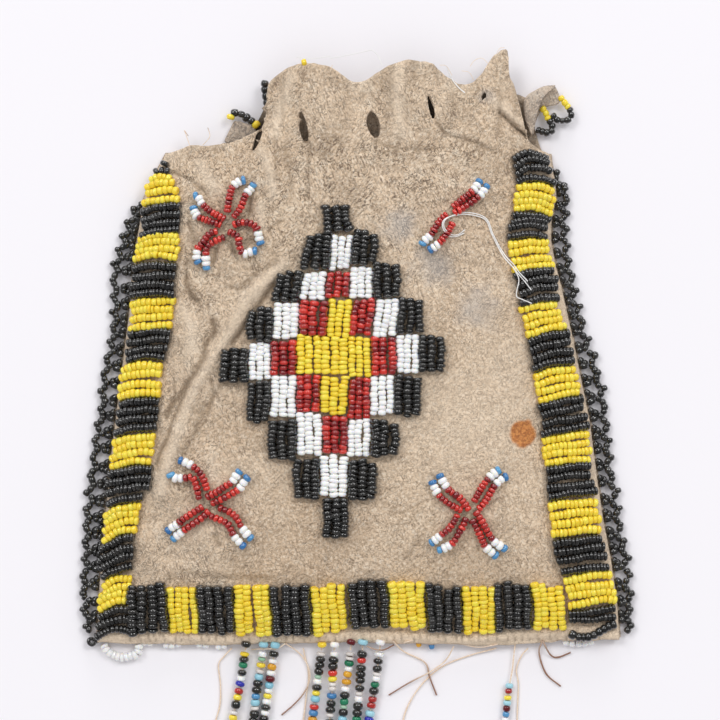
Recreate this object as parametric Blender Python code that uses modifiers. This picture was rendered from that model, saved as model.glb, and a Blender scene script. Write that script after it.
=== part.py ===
"""A beaded buckskin bag, lying on its back with the mouth towards +Y and the fringe towards -Y.

The pouch is two hides, sewn together at the sides and the hem. The back hide lies flat, and the
front hide crowns over it, so the pouch is open inside and out through the mouth. Above the
shoulders the front hide runs on as a free neck that folds forward. Rows of beads are sewn on the
front hide: striped lanes round the sides and the hem, a stepped diamond, and four crossed figures.
A net of black beads edges the sides, and strings of beads hang from the hem.

The origin is the middle of the back hide's outer face, which is the face that the bag lies on.
"""

import math

import bmesh
import bpy
import numpy as np
from mathutils import Vector

MM = 0.001

# The hides
HEM_WIDTH = 143.0 * MM
HIDE_LENGTH = 162.0 * MM
HIDE_THICKNESS = 1.3 * MM
POUCH_CROWN = 7.5 * MM
PLEAT_HEIGHT = 0.8 * MM
PLEAT_PITCH = 25.6 * MM
BACK_MARGIN = 0.5 * MM
CLEARANCE = 0.3 * MM
SLIT_CUT = 40.0 * MM

# The beads
BEAD_DIAMETER = 2.0 * MM
BEAD_CREST_SHARE = 0.92
BEAD_VALLEY_SHARE = 0.45
LANE_INSET = 0.8 * MM
BOTTOM_LANE_HEIGHT = 13.6 * MM
SIDE_TO_BOTTOM_GAP = 0.6 * MM
DIAMOND_WIDTH = 61.0 * MM
DIAMOND_HEIGHT = 90.0 * MM
FIGURE_HUB = 3.0 * MM
EDGING_BEAD = 1.9 * MM
EDGING_PITCH = 4.6 * MM
LEFT_EDGING_REACH = 3.3 * MM
RIGHT_EDGING_REACH = 2.2 * MM
SMALL_BEAD = 1.7 * MM

# The fringe and the threads
FRINGE_BEAD = 2.5 * MM
FRINGE_BEAD_LENGTH = 1.75 * MM
FRINGE_LENGTH = 38.0 * MM
SHORT_STRAND_LENGTH = 20.0 * MM
STRAND_LEANING_LENGTH = 20.0 * MM
STRAND_THREAD = 0.5 * MM
STRAND_STUB = 1.7 * MM
SINEW_DIAMETER = 0.5 * MM
COTTON_DIAMETER = 0.4 * MM

# The hem lies below the origin by this share of the hide's length.
HEM_SHARE = 0.48
# The fold line between the front hide and its free neck, above the hem.
FOLD_SHARE = 0.837
# The crown rises from the hem over this share of the hide's length.
RISE_SHARE = 0.30

# Side edges of the pouch: height above the hem, then distance from the middle line.
LEFT_EDGE_SHARES = (
    (0.00, -0.498), (0.10, -0.494), (0.21, -0.483), (0.33, -0.470), (0.45, -0.453),
    (0.58, -0.434), (0.68, -0.423), (0.76, -0.409), (0.83, -0.385),
)
RIGHT_EDGE_SHARES = (
    (0.00, 0.492), (0.08, 0.487), (0.15, 0.475), (0.21, 0.464), (0.28, 0.455), (0.38, 0.438),
    (0.44, 0.425), (0.51, 0.408), (0.60, 0.387), (0.68, 0.374), (0.75, 0.375), (0.83, 0.366),
)
# Upper edge of the front hide: place across it, then height above the hem.
SHOULDER_SHARES = (
    (0.00, 0.800), (0.05, 0.823), (0.11, 0.834), (0.17, 0.835), (0.205, 0.842),
    (0.222, 0.835), (0.95, 0.835), (1.00, 0.830),
)
# Columns and rows of the front hide's surface.
COLUMN_SHARES = (0, 0.05, 0.11, 0.17, 0.205, 0.222, 0.36, 0.48, 0.60, 0.72, 0.84, 0.92, 0.95, 1)
ROW_SHARES = (0, 0.06, 0.12, 0.20, 0.28, 0.36, 0.48, 0.60, 0.72, 0.84, 1)
# Upper edge of the free neck, left to right: distance from the middle line, height above the hem.
NECK_EDGE_SHARES = (
    (-0.215, 0.852), (-0.185, 0.868), (-0.177, 0.908), (-0.166, 0.948), (-0.138, 0.963),
    (-0.106, 0.972), (-0.062, 0.973), (-0.017, 0.953), (0.000, 0.947), (0.026, 0.958),
    (0.081, 0.978), (0.115, 0.980), (0.162, 0.957), (0.191, 0.948), (0.226, 0.962),
    (0.245, 0.985), (0.266, 0.998), (0.283, 0.958), (0.294, 0.928), (0.306, 0.895),
    (0.318, 0.862),
)
# Neck of the back hide with its two ears, left to right.
BACK_NECK_SHARES = (
    (-0.364, 0.820), (-0.292, 0.830), (-0.257, 0.845), (-0.245, 0.867), (-0.215, 0.873),
    (-0.181, 0.903), (-0.170, 0.937), (-0.132, 0.953), (-0.020, 0.935), (0.075, 0.960),
    (0.170, 0.935), (0.255, 0.958), (0.287, 0.927), (0.306, 0.913), (0.321, 0.930),
    (0.351, 0.940), (0.377, 0.927), (0.390, 0.910), (0.370, 0.900), (0.349, 0.905),
    (0.326, 0.883), (0.323, 0.847),
)
# Slits for a draw lace: place as shares of the hem's width and the hide's length, then real size.
SLITS = (
    ((-0.108, 0.867), 2.0 * MM, 8.6 * MM, -12.0),
    ((0.021, 0.870), 3.4 * MM, 7.0 * MM, 14.0),
    ((0.134, 0.898), 1.1 * MM, 6.0 * MM, 14.0),
    ((0.240, 0.920), 1.3 * MM, 1.6 * MM, 0.0),
)

# Inner edges of the side lanes: height above the hem, then distance from the middle line.
LEFT_LANE_INNER_SHARES = (
    (0.01, -0.432), (0.10, -0.432), (0.21, -0.413), (0.33, -0.387), (0.45, -0.374),
    (0.58, -0.352), (0.68, -0.340), (0.80, -0.340),
)
RIGHT_LANE_INNER_SHARES = (
    (0.03, 0.398), (0.12, 0.398), (0.13, 0.370), (0.15, 0.362), (0.21, 0.355), (0.33, 0.345),
    (0.44, 0.328), (0.51, 0.308), (0.58, 0.292), (0.65, 0.278), (0.75, 0.287), (0.83, 0.287),
)
LEFT_LANE_SHARES = (0.012, 0.788)
RIGHT_LANE_SHARES = (0.036, 0.834)
BOTTOM_LANE_SHARE = 0.021
ROWS_A_BLOCK = 4
SIDE_BLOCKS = 14
RIGHT_END_ROWS = 2
BOTTOM_BLOCKS = 12
LANE_STATIONS = 2

# The stepped diamond: its middle, its lanes and the strings side by side in one block.
DIAMOND_MIDDLE_SHARES = (-0.048, 0.4625)
DIAMOND_LANES = 9
STRINGS_A_BLOCK = 3
DIAMOND_COLOURS = ("black_beads", "white_beads", "red_beads", "yellow_beads")

# The crossed figures: the middle as shares, then each arm's direction in degrees and its length.
FIGURES = {
    "upper_left": (
        (-0.251, 0.700), ((141, 11.3 * MM), (63, 13.6 * MM), (-31, 10.5 * MM), (239, 12.3 * MM))
    ),
    "upper_right": ((0.170, 0.728), ((40, 11.9 * MM), (236, 12.4 * MM))),
    "lower_left": (
        (-0.291, 0.242), ((130, 13.0 * MM), (38, 13.5 * MM), (222.5, 13.2 * MM), (-43, 15.9 * MM))
    ),
    "lower_right": (
        (0.204, 0.233), ((135, 12.7 * MM), (46, 13.5 * MM), (228, 13.8 * MM), (-53, 14.8 * MM))
    ),
}
ARM_STATIONS = 2

# The net edging: heights above the hem between which it runs.
LEFT_EDGING_SHARES = (0.020, 0.735)
RIGHT_EDGING_SHARES = (0.030, 0.785)
EDGING_TAPER_SHARE = 0.10

# Fringe strands: place on the hem and lean to the left as a share of the length.
STRAND_TOP_SHARES = (-0.219, -0.185, -0.163, -0.074, -0.049, -0.019, 0.004, 0.036, 0.292)
STRAND_LEAN_SHARES = (0.17, 0.15, 0.16, 0.13, 0.06, 0.12, 0.08, 0.15, 0.13)
STRAND_TAIL_LEAN_SHARE = 0.08

COLOURS = {
    "buckskin": (0.50, 0.41, 0.30, 1.0),
    "black_beads": (0.012, 0.012, 0.014, 1.0),
    "yellow_beads": (0.85, 0.60, 0.03, 1.0),
    "white_beads": (0.86, 0.86, 0.84, 1.0),
    "red_beads": (0.30, 0.01, 0.015, 1.0),
    "blue_beads": (0.05, 0.22, 0.50, 1.0),
    "sinew": (0.62, 0.50, 0.35, 1.0),
    "cotton": (0.82, 0.82, 0.80, 1.0),
}
BEAD_ROUGHNESS = 0.25
SOFT_ROUGHNESS = 0.85


def clear_scene():
    for obj in list(bpy.data.objects):
        bpy.data.objects.remove(obj, do_unlink=True)


def collection(name):
    made = bpy.data.collections.new(name)
    bpy.context.scene.collection.children.link(made)
    return made


def material(name):
    """The Principled material of one finish, made once and then shared."""
    found = bpy.data.materials.get(name)
    if found:
        return found
    made = bpy.data.materials.new(name)
    made.use_nodes = True
    surface = made.node_tree.nodes["Principled BSDF"]
    surface.inputs["Base Color"].default_value = COLOURS[name]
    surface.inputs["Metallic"].default_value = 0.0
    surface.inputs["Roughness"].default_value = BEAD_ROUGHNESS if "beads" in name else SOFT_ROUGHNESS
    made.diffuse_color = COLOURS[name]
    return made


def add_object(name, data, place, finishes, group):
    obj = bpy.data.objects.new(name, data)
    obj.location = place
    for finish in finishes:
        data.materials.append(material(finish))
    group.objects.link(obj)
    return obj


def up(y_share):
    """World Y of a height above the hem, given as a share of the hide's length."""
    return (y_share - HEM_SHARE) * HIDE_LENGTH


def across(x_share):
    """World X of a distance from the middle line, given as a share of the hem's width."""
    return x_share * HEM_WIDTH


def edge_x(edge_shares, y):
    """World X of a side line at world height y."""
    heights, distances = zip(*edge_shares)
    return float(np.interp(y / HIDE_LENGTH + HEM_SHARE, heights, distances)) * HEM_WIDTH


def front_middle(x, y):
    """Height of the middle of the front hide over the ground: a crown that dies out at the seams."""
    left = edge_x(LEFT_EDGE_SHARES, y)
    right = edge_x(RIGHT_EDGE_SHARES, y)
    off_middle = min(1.0, abs(2 * (x - left) / (right - left) - 1))
    rise = min(1.0, max(0.0, (y - up(0)) / (RISE_SHARE * HIDE_LENGTH)))
    seam = 1.5 * HIDE_THICKNESS + CLEARANCE
    return seam + POUCH_CROWN * (1 - off_middle ** 3) * math.sin(rise * math.pi / 2)


def seat(x, y):
    """Height of what is sewn on the front hide, clear of its face on the slope too."""
    return front_middle(x, y) + 0.52 * HIDE_THICKNESS + CLEARANCE


def solidify(obj, thickness):
    shell = obj.modifiers.new("thickness", "SOLIDIFY")
    shell.thickness = thickness
    shell.offset = 0.0


def surface_grid(columns, rows, place):
    """A grid whose point (i, j) lies at place(i, j)."""
    mesh = bpy.data.meshes.new("surface")
    bm = bmesh.new()
    bmesh.ops.create_grid(bm, x_segments=columns - 1, y_segments=rows - 1, size=0.5)
    for vert in bm.verts:
        i = round((vert.co.x + 0.5) * (columns - 1))
        j = round((vert.co.y + 0.5) * (rows - 1))
        vert.co = place(i, j)
    bm.to_mesh(mesh)
    bm.free()
    return mesh


def back_hide(group):
    """The flat hide under the pouch, with a gathered neck and two ears."""
    side_shares = [share for share, _ in LEFT_EDGE_SHARES]
    left = [(edge_x(LEFT_EDGE_SHARES, up(s)) - BACK_MARGIN, up(s)) for s in side_shares]
    right = [(edge_x(RIGHT_EDGE_SHARES, up(s)) + BACK_MARGIN, up(s)) for s in side_shares]
    neck = [(across(x), up(y)) for x, y in BACK_NECK_SHARES]
    outline = left + neck + right[::-1]
    curve = bpy.data.curves.new("back_hide", "CURVE")
    curve.dimensions = "2D"
    curve.fill_mode = "BOTH"
    curve.extrude = HIDE_THICKNESS / 2
    spline = curve.splines.new("POLY")
    spline.points.add(len(outline) - 1)
    for point, (x, y) in zip(spline.points, outline):
        point.co = (x, y, 0, 1)
    spline.use_cyclic_u = True
    return add_object("back_hide", curve, (0, 0, HIDE_THICKNESS / 2), ["buckskin"], group)


def front_hide(group):
    """The crowned hide over the pouch, from the hem to the shoulders."""
    places, heights = zip(*SHOULDER_SHARES)

    def place(i, j):
        top = up(float(np.interp(COLUMN_SHARES[i], places, heights)))
        y = up(0) + (top - up(0)) * ROW_SHARES[j]
        left = edge_x(LEFT_EDGE_SHARES, y)
        x = left + (edge_x(RIGHT_EDGE_SHARES, y) - left) * COLUMN_SHARES[i]
        return x, y, front_middle(x, y)

    mesh = surface_grid(len(COLUMN_SHARES), len(ROW_SHARES), place)
    obj = add_object("front_hide", mesh, (0, 0, 0), ["buckskin"], group)
    solidify(obj, HIDE_THICKNESS)
    return obj


def slit_cutter(number, slit, group):
    (x_share, y_share), width, length, lean = slit
    mesh = bpy.data.meshes.new(f"slit_{number}")
    bm = bmesh.new()
    bmesh.ops.create_cone(bm, cap_ends=True, segments=10, radius1=0.5, radius2=0.5, depth=1)
    bmesh.ops.scale(bm, vec=(width, length, SLIT_CUT), verts=bm.verts)
    bm.to_mesh(mesh)
    bm.free()
    cutter = bpy.data.objects.new(f"slit_{number}_cutter", mesh)
    cutter.location = (across(x_share), up(y_share), 0)
    cutter.rotation_euler.z = -math.radians(lean)
    cutter.hide_render = True
    cutter.display_type = "WIRE"
    group.objects.link(cutter)
    return cutter


def front_neck(group, cutters):
    """The free neck of the front hide, pleated towards its edge, with slits for a draw lace."""
    rows = 5
    hinge = Vector((0, up(FOLD_SHARE), front_middle(0, up(FOLD_SHARE)) + HIDE_THICKNESS / 2))
    low = up(FOLD_SHARE) + CLEARANCE / 2

    def place(i, j):
        x_share, y_share = NECK_EDGE_SHARES[i]
        part = j / (rows - 1)
        x, y = across(x_share), low + (up(y_share) - low) * part
        pleat = PLEAT_HEIGHT * part * math.cos(2 * math.pi * (x - across(0.09)) / PLEAT_PITCH)
        return Vector((x, y, front_middle(x, up(FOLD_SHARE)) + pleat)) - hinge

    mesh = surface_grid(len(NECK_EDGE_SHARES), rows, place)
    obj = add_object("front_neck", mesh, hinge, ["buckskin"], group)
    solidify(obj, HIDE_THICKNESS)
    for number, slit in enumerate(SLITS, 1):
        cut = obj.modifiers.new(f"slit_{number}", "BOOLEAN")
        cut.operation = "DIFFERENCE"
        cut.object = slit_cutter(number, slit, cutters)
    return obj


def bead_band(name, rows, place, row_finish, group, stations=1):
    """Rows of beads sewn side by side on the front hide, as one ridged body.

    place(along, over) gives world x and y, where along runs over the rows from 0 to 1 and over
    runs along each row from 0 to 1. row_finish(row) names the finish of a row.
    """
    finishes = sorted({row_finish(row) for row in range(rows)})
    mesh = bpy.data.meshes.new(name)
    bm = bmesh.new()
    bmesh.ops.create_grid(bm, x_segments=2 * rows, y_segments=stations, size=0.5)
    for face in bm.faces:
        row = int((face.calc_center_median().x + 0.5) * rows)
        face.material_index = finishes.index(row_finish(min(row, rows - 1)))
    upper = list(bm.verts)
    made = bmesh.ops.extrude_face_region(bm, geom=bm.faces[:])
    lower = [item for item in made["geom"] if isinstance(item, bmesh.types.BMVert)]
    for verts, lifted in ((upper, True), (lower, False)):
        for vert in verts:
            along, over = vert.co.x + 0.5, vert.co.y + 0.5
            crest = round(along * 2 * rows) % 2 == 1
            x, y = place(along, over)
            height = BEAD_DIAMETER * (BEAD_CREST_SHARE if crest else BEAD_VALLEY_SHARE) if lifted else 0
            vert.co = (x, y, seat(x, y) + height)
    bmesh.ops.recalc_face_normals(bm, faces=bm.faces)
    bm.to_mesh(mesh)
    bm.free()
    return add_object(name, mesh, (0, 0, 0), finishes, group)


def stripe(row, first, second):
    return first if row // ROWS_A_BLOCK % 2 == 0 else second


def left_lane(group):
    """Rows across the left side, striped in blocks from the hem up."""

    def place(along, over):
        y = up(np.interp(along, (0, 1), LEFT_LANE_SHARES))
        outer = edge_x(LEFT_EDGE_SHARES, y)
        return outer + (edge_x(LEFT_LANE_INNER_SHARES, y) - outer) * over, y

    def finish(row):
        return stripe(row, "black_beads", "yellow_beads")

    bead_band("left_lane", SIDE_BLOCKS * ROWS_A_BLOCK, place, finish, group, LANE_STATIONS)


def right_lane(group):
    """Rows across the right side, with one short black block at the hem."""

    def place(along, over):
        y = up(np.interp(along, (0, 1), RIGHT_LANE_SHARES))
        outer = edge_x(RIGHT_EDGE_SHARES, y) - LANE_INSET
        inner = edge_x(RIGHT_LANE_INNER_SHARES, y)
        return inner + (outer - inner) * over, y

    def finish(row):
        return stripe(row + ROWS_A_BLOCK - RIGHT_END_ROWS, "black_beads", "yellow_beads")

    rows = SIDE_BLOCKS * ROWS_A_BLOCK + RIGHT_END_ROWS
    bead_band("right_lane", rows, place, finish, group, LANE_STATIONS)


def bottom_lane(group):
    """Upright rows along the hem, between the two side lanes."""
    low = up(BOTTOM_LANE_SHARE)
    start = edge_x(LEFT_LANE_INNER_SHARES, low) + SIDE_TO_BOTTOM_GAP
    end = edge_x(RIGHT_LANE_INNER_SHARES, low) - SIDE_TO_BOTTOM_GAP

    def place(along, over):
        return start + (end - start) * along, low + BOTTOM_LANE_HEIGHT * over

    rows = BOTTOM_BLOCKS * ROWS_A_BLOCK
    bead_band("bottom_lane", rows, place, lambda row: stripe(row, "black_beads", "yellow_beads"), group)


def diamond(group):
    """Nine lanes of upright strings, stepped in and out by one block a side."""
    middle_x, middle_y = across(DIAMOND_MIDDLE_SHARES[0]), up(DIAMOND_MIDDLE_SHARES[1])
    pitch = DIAMOND_HEIGHT / DIAMOND_LANES
    block = DIAMOND_WIDTH / DIAMOND_LANES
    for lane in range(DIAMOND_LANES):
        blocks = DIAMOND_LANES - 2 * abs(lane - DIAMOND_LANES // 2)
        top = middle_y + DIAMOND_HEIGHT / 2 - lane * pitch - CLEARANCE / 2
        start = middle_x - blocks * block / 2
        width = blocks * block

        def place(along, over, start=start, width=width, top=top):
            return start + width * along, top - (pitch - CLEARANCE) * (1 - over)

        def finish(row, blocks=blocks):
            at = row // STRINGS_A_BLOCK
            steps_in = min(at, blocks - 1 - at, len(DIAMOND_COLOURS) - 1)
            return DIAMOND_COLOURS[steps_in]

        bead_band(f"diamond_lane_{lane + 1}", blocks * STRINGS_A_BLOCK, place, finish, group)


def figures(group):
    """Crossed figures: every arm is a pair of strings that runs out from the middle."""
    for name, (middle_shares, arms) in FIGURES.items():
        middle = Vector((across(middle_shares[0]), up(middle_shares[1])))
        for number, (degrees, length) in enumerate(arms, 1):
            out = Vector((math.cos(math.radians(degrees)), math.sin(math.radians(degrees))))
            side = Vector((-out.y, out.x))

            def place(along, over, middle=middle, out=out, side=side, length=length):
                point = middle + out * (FIGURE_HUB + (length - FIGURE_HUB) * over)
                return tuple(point + side * (along - 0.5) * 2 * BEAD_DIAMETER)

            bead_band(
                f"figure_{name}_arm_{number}", 2, place, lambda row: "red_beads", group, ARM_STATIONS
            )


def poly_tube(name, splines, radius, roundness=1, scales=None):
    """A curve of straight-run splines with a round bevel; scales gives each point's own radius."""
    curve = bpy.data.curves.new(name, "CURVE")
    curve.dimensions = "3D"
    curve.bevel_depth = radius
    curve.bevel_resolution = roundness
    curve.use_fill_caps = True
    for points in splines:
        spline = curve.splines.new("POLY")
        spline.points.add(len(points) - 1)
        for index, (point, co) in enumerate(zip(spline.points, points)):
            point.co = (*co, 1)
            point.radius = scales[index] if scales else 1
    return curve


def smooth_route(route, count):
    """Points spread evenly on one smooth curve through the route's own points."""
    knots = [Vector(p) for p in route]
    ends = [2 * knots[0] - knots[1], *knots, 2 * knots[-1] - knots[-2]]
    dense = []
    for i in range(1, len(ends) - 2):
        a, b, c, d = ends[i - 1 : i + 3]
        for step in range(12):
            t = step / 12
            dense.append(
                0.5 * (2 * b + (c - a) * t + (2 * a - 5 * b + 4 * c - d) * t ** 2
                       + (3 * b - a - 3 * c + d) * t ** 3)
            )
    dense.append(knots[-1])
    line = np.array(dense)
    gone = np.concatenate([[0], np.cumsum(np.linalg.norm(np.diff(line, axis=0), axis=1))])
    even = np.linspace(0, gone[-1], count)
    return [tuple(np.interp(s, gone, line[:, k]) for k in range(3)) for s in even]


def bead_string(name, route, bead, bead_length, finish, group, place=(0, 0, 0), roundness=0):
    """Beads threaded close together: the string swells at each bead and draws in between them."""
    length = sum((Vector(b) - Vector(a)).length for a, b in zip(route, route[1:]))
    beads = max(2, round(length / bead_length))
    points = smooth_route(route, 2 * beads + 1)
    scales = [1.0 if index % 2 else 0.55 for index in range(len(points))]
    curve = poly_tube(name, [points], bead / 2, roundness, scales)
    return add_object(name, curve, place, [finish], group)


def as_mesh(curve_object):
    """The curve's tube as a mesh with its caps welded, in place of the curve."""
    graph = bpy.context.evaluated_depsgraph_get()
    mesh = bpy.data.meshes.new_from_object(curve_object.evaluated_get(graph))
    bm = bmesh.new()
    bm.from_mesh(mesh)
    bmesh.ops.remove_doubles(bm, verts=bm.verts, dist=CLEARANCE / 100)
    bm.to_mesh(mesh)
    bm.free()
    made = bpy.data.objects.new(curve_object.name, mesh)
    made.matrix_world = curve_object.matrix_world
    for group in curve_object.users_collection:
        group.objects.link(made)
    name = curve_object.name
    bpy.data.objects.remove(curve_object, do_unlink=True)
    made.name = name
    return made


def net_edging(name, edge_shares, run_shares, reach, outward, group, cutters):
    """A chain of black beads beside the seam, held to it by short legs at every pitch."""
    low, high = up(run_shares[0]), up(run_shares[1])
    legs = round((high - low) / EDGING_PITCH)
    chain_height = EDGING_BEAD / 2 + CLEARANCE / 3
    taper = EDGING_TAPER_SHARE * (high - low)
    chain, leg_lines = [], []
    for step in range(2 * legs + 1):
        y = low + (high - low) * step / (2 * legs)
        fade = min(1, (y - low) / taper + 0.5, (high - y) / taper + 0.5)
        bow = EDGING_BEAD / 4 * (step % 2)
        seam = edge_x(edge_shares, y) + outward * (BACK_MARGIN + CLEARANCE)
        out = seam + outward * (EDGING_BEAD / 2 + (reach - EDGING_BEAD / 2) * fade + bow)
        chain.append((out, y, chain_height))
        if step % 2 == 0 and 0 < step < 2 * legs:
            leg_lines.append([(seam, y, chain_height), (out, y, chain_height)])
    chain_object = add_object(name, poly_tube(name, [chain], EDGING_BEAD / 2, 0), (0, 0, 0), [], group)
    legs_curve = poly_tube(f"{name}_legs", leg_lines, 0.8 * EDGING_BEAD / 2, 0)
    legs_object = add_object(f"{name}_legs", legs_curve, (0, 0, 0), [], cutters)
    net = as_mesh(chain_object)
    net.data.materials.append(material("black_beads"))
    joined = as_mesh(legs_object)
    joined.hide_render = True
    joined.display_type = "WIRE"
    weld = net.modifiers.new("legs", "BOOLEAN")
    weld.operation = "UNION"
    weld.object = joined
    return net


def fringe(group):
    """Nine strings of beads that hang from the hem, each on its own pivot at the hem."""
    tops = zip(STRAND_TOP_SHARES, STRAND_LEAN_SHARES)
    for number, (top_share, lean_share) in enumerate(tops, 1):
        short = number == len(STRAND_TOP_SHARES)
        length = SHORT_STRAND_LENGTH if short else FRINGE_LENGTH
        bead = SMALL_BEAD if short else FRINGE_BEAD
        stub = SHORT_STRAND_LENGTH / 2 if short else STRAND_STUB
        x, y = across(top_share), up(0) - CLEARANCE - STRAND_STUB
        pivot = Vector((x, y, bead / 2 + CLEARANCE / 3))
        beads = round((length - stub) / FRINGE_BEAD_LENGTH)

        def sway(gone, lean_share=lean_share):
            tail = max(0, gone - STRAND_LEANING_LENGTH)
            return -lean_share * (gone - tail) - STRAND_TAIL_LEAN_SHARE * tail

        points = [(0, STRAND_STUB, 0), (0, 0, 0)]
        scales = [STRAND_THREAD / bead, STRAND_THREAD / bead]
        if short:
            points.append((sway(stub), -stub, 0))
            scales.append(STRAND_THREAD / bead)
        begin = stub if short else 0
        for step in range(2 * beads + 1):
            gone = begin + FRINGE_BEAD_LENGTH * (0.3 + step / 2)
            points.append((sway(gone), -gone, 0))
            scales.append(1.0 if step % 2 else 0.6)
        name = f"fringe_strand_{number}"
        curve = poly_tube(name, [points], bead / 2, 1, scales)
        add_object(name, curve, pivot, ["white_beads" if short else "black_beads"], group)


def share_route(route_shares, z):
    return [(across(x), up(y), z) for x, y in route_shares]


def ear_loops(group):
    """Loops of beads at the two ears of the back hide, and beads beside the neck."""
    z = HIDE_THICKNESS + CLEARANCE + SMALL_BEAD / 2
    loops = {
        "left_ear_loop": (
            (-0.243, 0.882), (-0.238, 0.895), (-0.222, 0.892), (-0.203, 0.889), (-0.194, 0.880),
        ),
        "neck_side_beads": ((-0.186, 0.944), (-0.181, 0.933), (-0.178, 0.920)),
        "right_ear_outer_loop": (
            (0.396, 0.912), (0.403, 0.897), (0.400, 0.884), (0.388, 0.879), (0.374, 0.881), (0.364, 0.888),
        ),
        "right_ear_inner_loop": (
            (0.342, 0.898), (0.352, 0.888), (0.366, 0.873), (0.361, 0.858), (0.345, 0.861), (0.334, 0.872),
        ),
    }
    for name, route_shares in loops.items():
        route = share_route(route_shares, z)
        bead_string(name, route, SMALL_BEAD, 0.8 * SMALL_BEAD, "black_beads", group)


def hem_beads(group):
    """What shows below the hem: the white corner loop, the back hide's edging and a loose row."""
    below = -(CLEARANCE + SMALL_BEAD / 2) / HIDE_LENGTH
    floor = SMALL_BEAD / 2 + CLEARANCE / 3
    loop = (
        (-0.486, below), (-0.478, -0.017), (-0.462, -0.025), (-0.443, -0.022), (-0.428, -0.013),
        (-0.423, below),
    )
    bead_string("corner_loop", share_route(loop, floor), SMALL_BEAD, 0.8 * SMALL_BEAD, "white_beads", group)
    for name, start, end in (("left_hem_edging", -0.410, -0.262), ("right_hem_edging", 0.390, 0.437)):
        route = share_route(((start, below), ((start + end) / 2, below), (end, below)), floor)
        bead_string(name, route, SMALL_BEAD, 0.8 * SMALL_BEAD, "white_beads", group)
    row = ((0.399, 0.017), (0.420, 0.017), (0.445, 0.022), (0.468, 0.026))
    lifted = [(across(x), up(y), seat(across(x), up(y)) + BEAD_DIAMETER / 2) for x, y in row]
    bead_string("loose_row", lifted, 0.9 * BEAD_DIAMETER, 0.7 * BEAD_DIAMETER, "black_beads", group)


# Routes of the loose thread ends, in millimetres from the origin.
SINEW_ROUTES = {
    "sinew_end_1": ((-34.8, -78.2, 1.0), (-37.0, -80.6, 0.4), (-38.4, -82.8, 0.4), (-37.9, -88.0, 0.4),
                    (-38.0, -93.4, 0.4), (-39.2, -98.0, 0.4), (-40.6, -103.0, 0.4), (-41.0, -109.0, 0.4)),
    "sinew_end_2": ((-15.4, -78.2, 1.0), (-14.9, -80.6, 0.5), (-14.1, -84.0, 0.4), (-14.0, -87.0, 0.4),
                    (-14.6, -91.5, 0.4), (-15.3, -97.2, 0.4), (-16.4, -103.5, 0.4), (-17.2, -110.0, 0.4)),
    "sinew_end_3": ((37.0, -78.2, 1.0), (29.2, -80.4, 0.4), (22.4, -83.2, 0.4), (17.4, -87.4, 0.4),
                    (13.8, -92.4, 0.4), (11.8, -97.4, 0.4), (11.4, -103.0, 0.4)),
    "sinew_end_4": ((45.6, -78.2, 1.0), (43.8, -80.4, 0.5), (42.5, -84.0, 0.4), (43.0, -88.0, 0.4),
                    (42.8, -93.6, 0.4), (42.7, -98.6, 0.4), (43.4, -104.0, 0.4), (45.0, -110.0, 0.4)),
}
COTTON_ROUTES = {
    "cotton_thread": ((27.9, 33.8, 9.7), (26.0, 34.0, 9.9), (24.6, 35.2, 11.6), (22.8, 36.8, 12.9),
                      (23.4, 38.4, 12.6), (25.4, 39.6, 10.8), (28.0, 39.8, 9.8), (31.0, 39.4, 9.3),
                      (34.4, 37.8, 8.8), (37.0, 33.8, 8.4), (38.6, 31.0, 9.3), (40.0, 29.0, 10.0),
                      (42.0, 26.2, 9.7), (44.4, 22.4, 9.2), (46.2, 19.0, 8.85)),
}


def threads(group):
    """The free ends of sinew at the hem, and a length of cotton on the front."""
    kinds = ((SINEW_ROUTES, SINEW_DIAMETER, "sinew"), (COTTON_ROUTES, COTTON_DIAMETER, "cotton"))
    for routes, diameter, finish in kinds:
        for name, route in routes.items():
            points = smooth_route([tuple(MM * value for value in point) for point in route], 14)
            add_object(name, poly_tube(name, [points], diameter / 2, 2), (0, 0, 0), [finish], group)


def main():
    clear_scene()
    bag = collection("beaded_bag")
    cutters = collection("cutters")
    back_hide(bag)
    front_hide(bag)
    front_neck(bag, cutters)
    left_lane(bag)
    right_lane(bag)
    bottom_lane(bag)
    diamond(bag)
    figures(bag)
    net_edging("left_edging", LEFT_EDGE_SHARES, LEFT_EDGING_SHARES, LEFT_EDGING_REACH, -1, bag, cutters)
    net_edging("right_edging", RIGHT_EDGE_SHARES, RIGHT_EDGING_SHARES, RIGHT_EDGING_REACH, 1, bag, cutters)
    ear_loops(bag)
    hem_beads(bag)
    fringe(bag)
    threads(bag)


main()
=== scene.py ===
import math

import bpy
import numpy as np
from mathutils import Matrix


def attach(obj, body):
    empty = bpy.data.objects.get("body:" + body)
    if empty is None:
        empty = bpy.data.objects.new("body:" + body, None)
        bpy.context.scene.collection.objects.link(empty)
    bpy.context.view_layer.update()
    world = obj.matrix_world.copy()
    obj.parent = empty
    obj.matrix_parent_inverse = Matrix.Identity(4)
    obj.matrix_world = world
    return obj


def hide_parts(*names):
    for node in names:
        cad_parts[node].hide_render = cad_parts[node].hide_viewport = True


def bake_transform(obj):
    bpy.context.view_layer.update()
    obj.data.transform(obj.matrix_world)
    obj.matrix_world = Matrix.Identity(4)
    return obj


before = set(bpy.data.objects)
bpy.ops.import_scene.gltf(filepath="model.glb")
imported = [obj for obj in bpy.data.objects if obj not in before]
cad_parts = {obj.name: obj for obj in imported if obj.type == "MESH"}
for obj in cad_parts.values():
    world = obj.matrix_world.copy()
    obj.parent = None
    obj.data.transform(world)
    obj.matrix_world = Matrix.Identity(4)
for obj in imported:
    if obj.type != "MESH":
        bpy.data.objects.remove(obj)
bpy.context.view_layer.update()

# The bench. The bag lies on its back on a pale matt table and is looked at from straight above.
# Two large soft windows stand beyond the mouth, so the shadow falls past the hem.
MM = 0.001
scene = bpy.context.scene
scene.view_settings.view_transform = "Standard"

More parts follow.
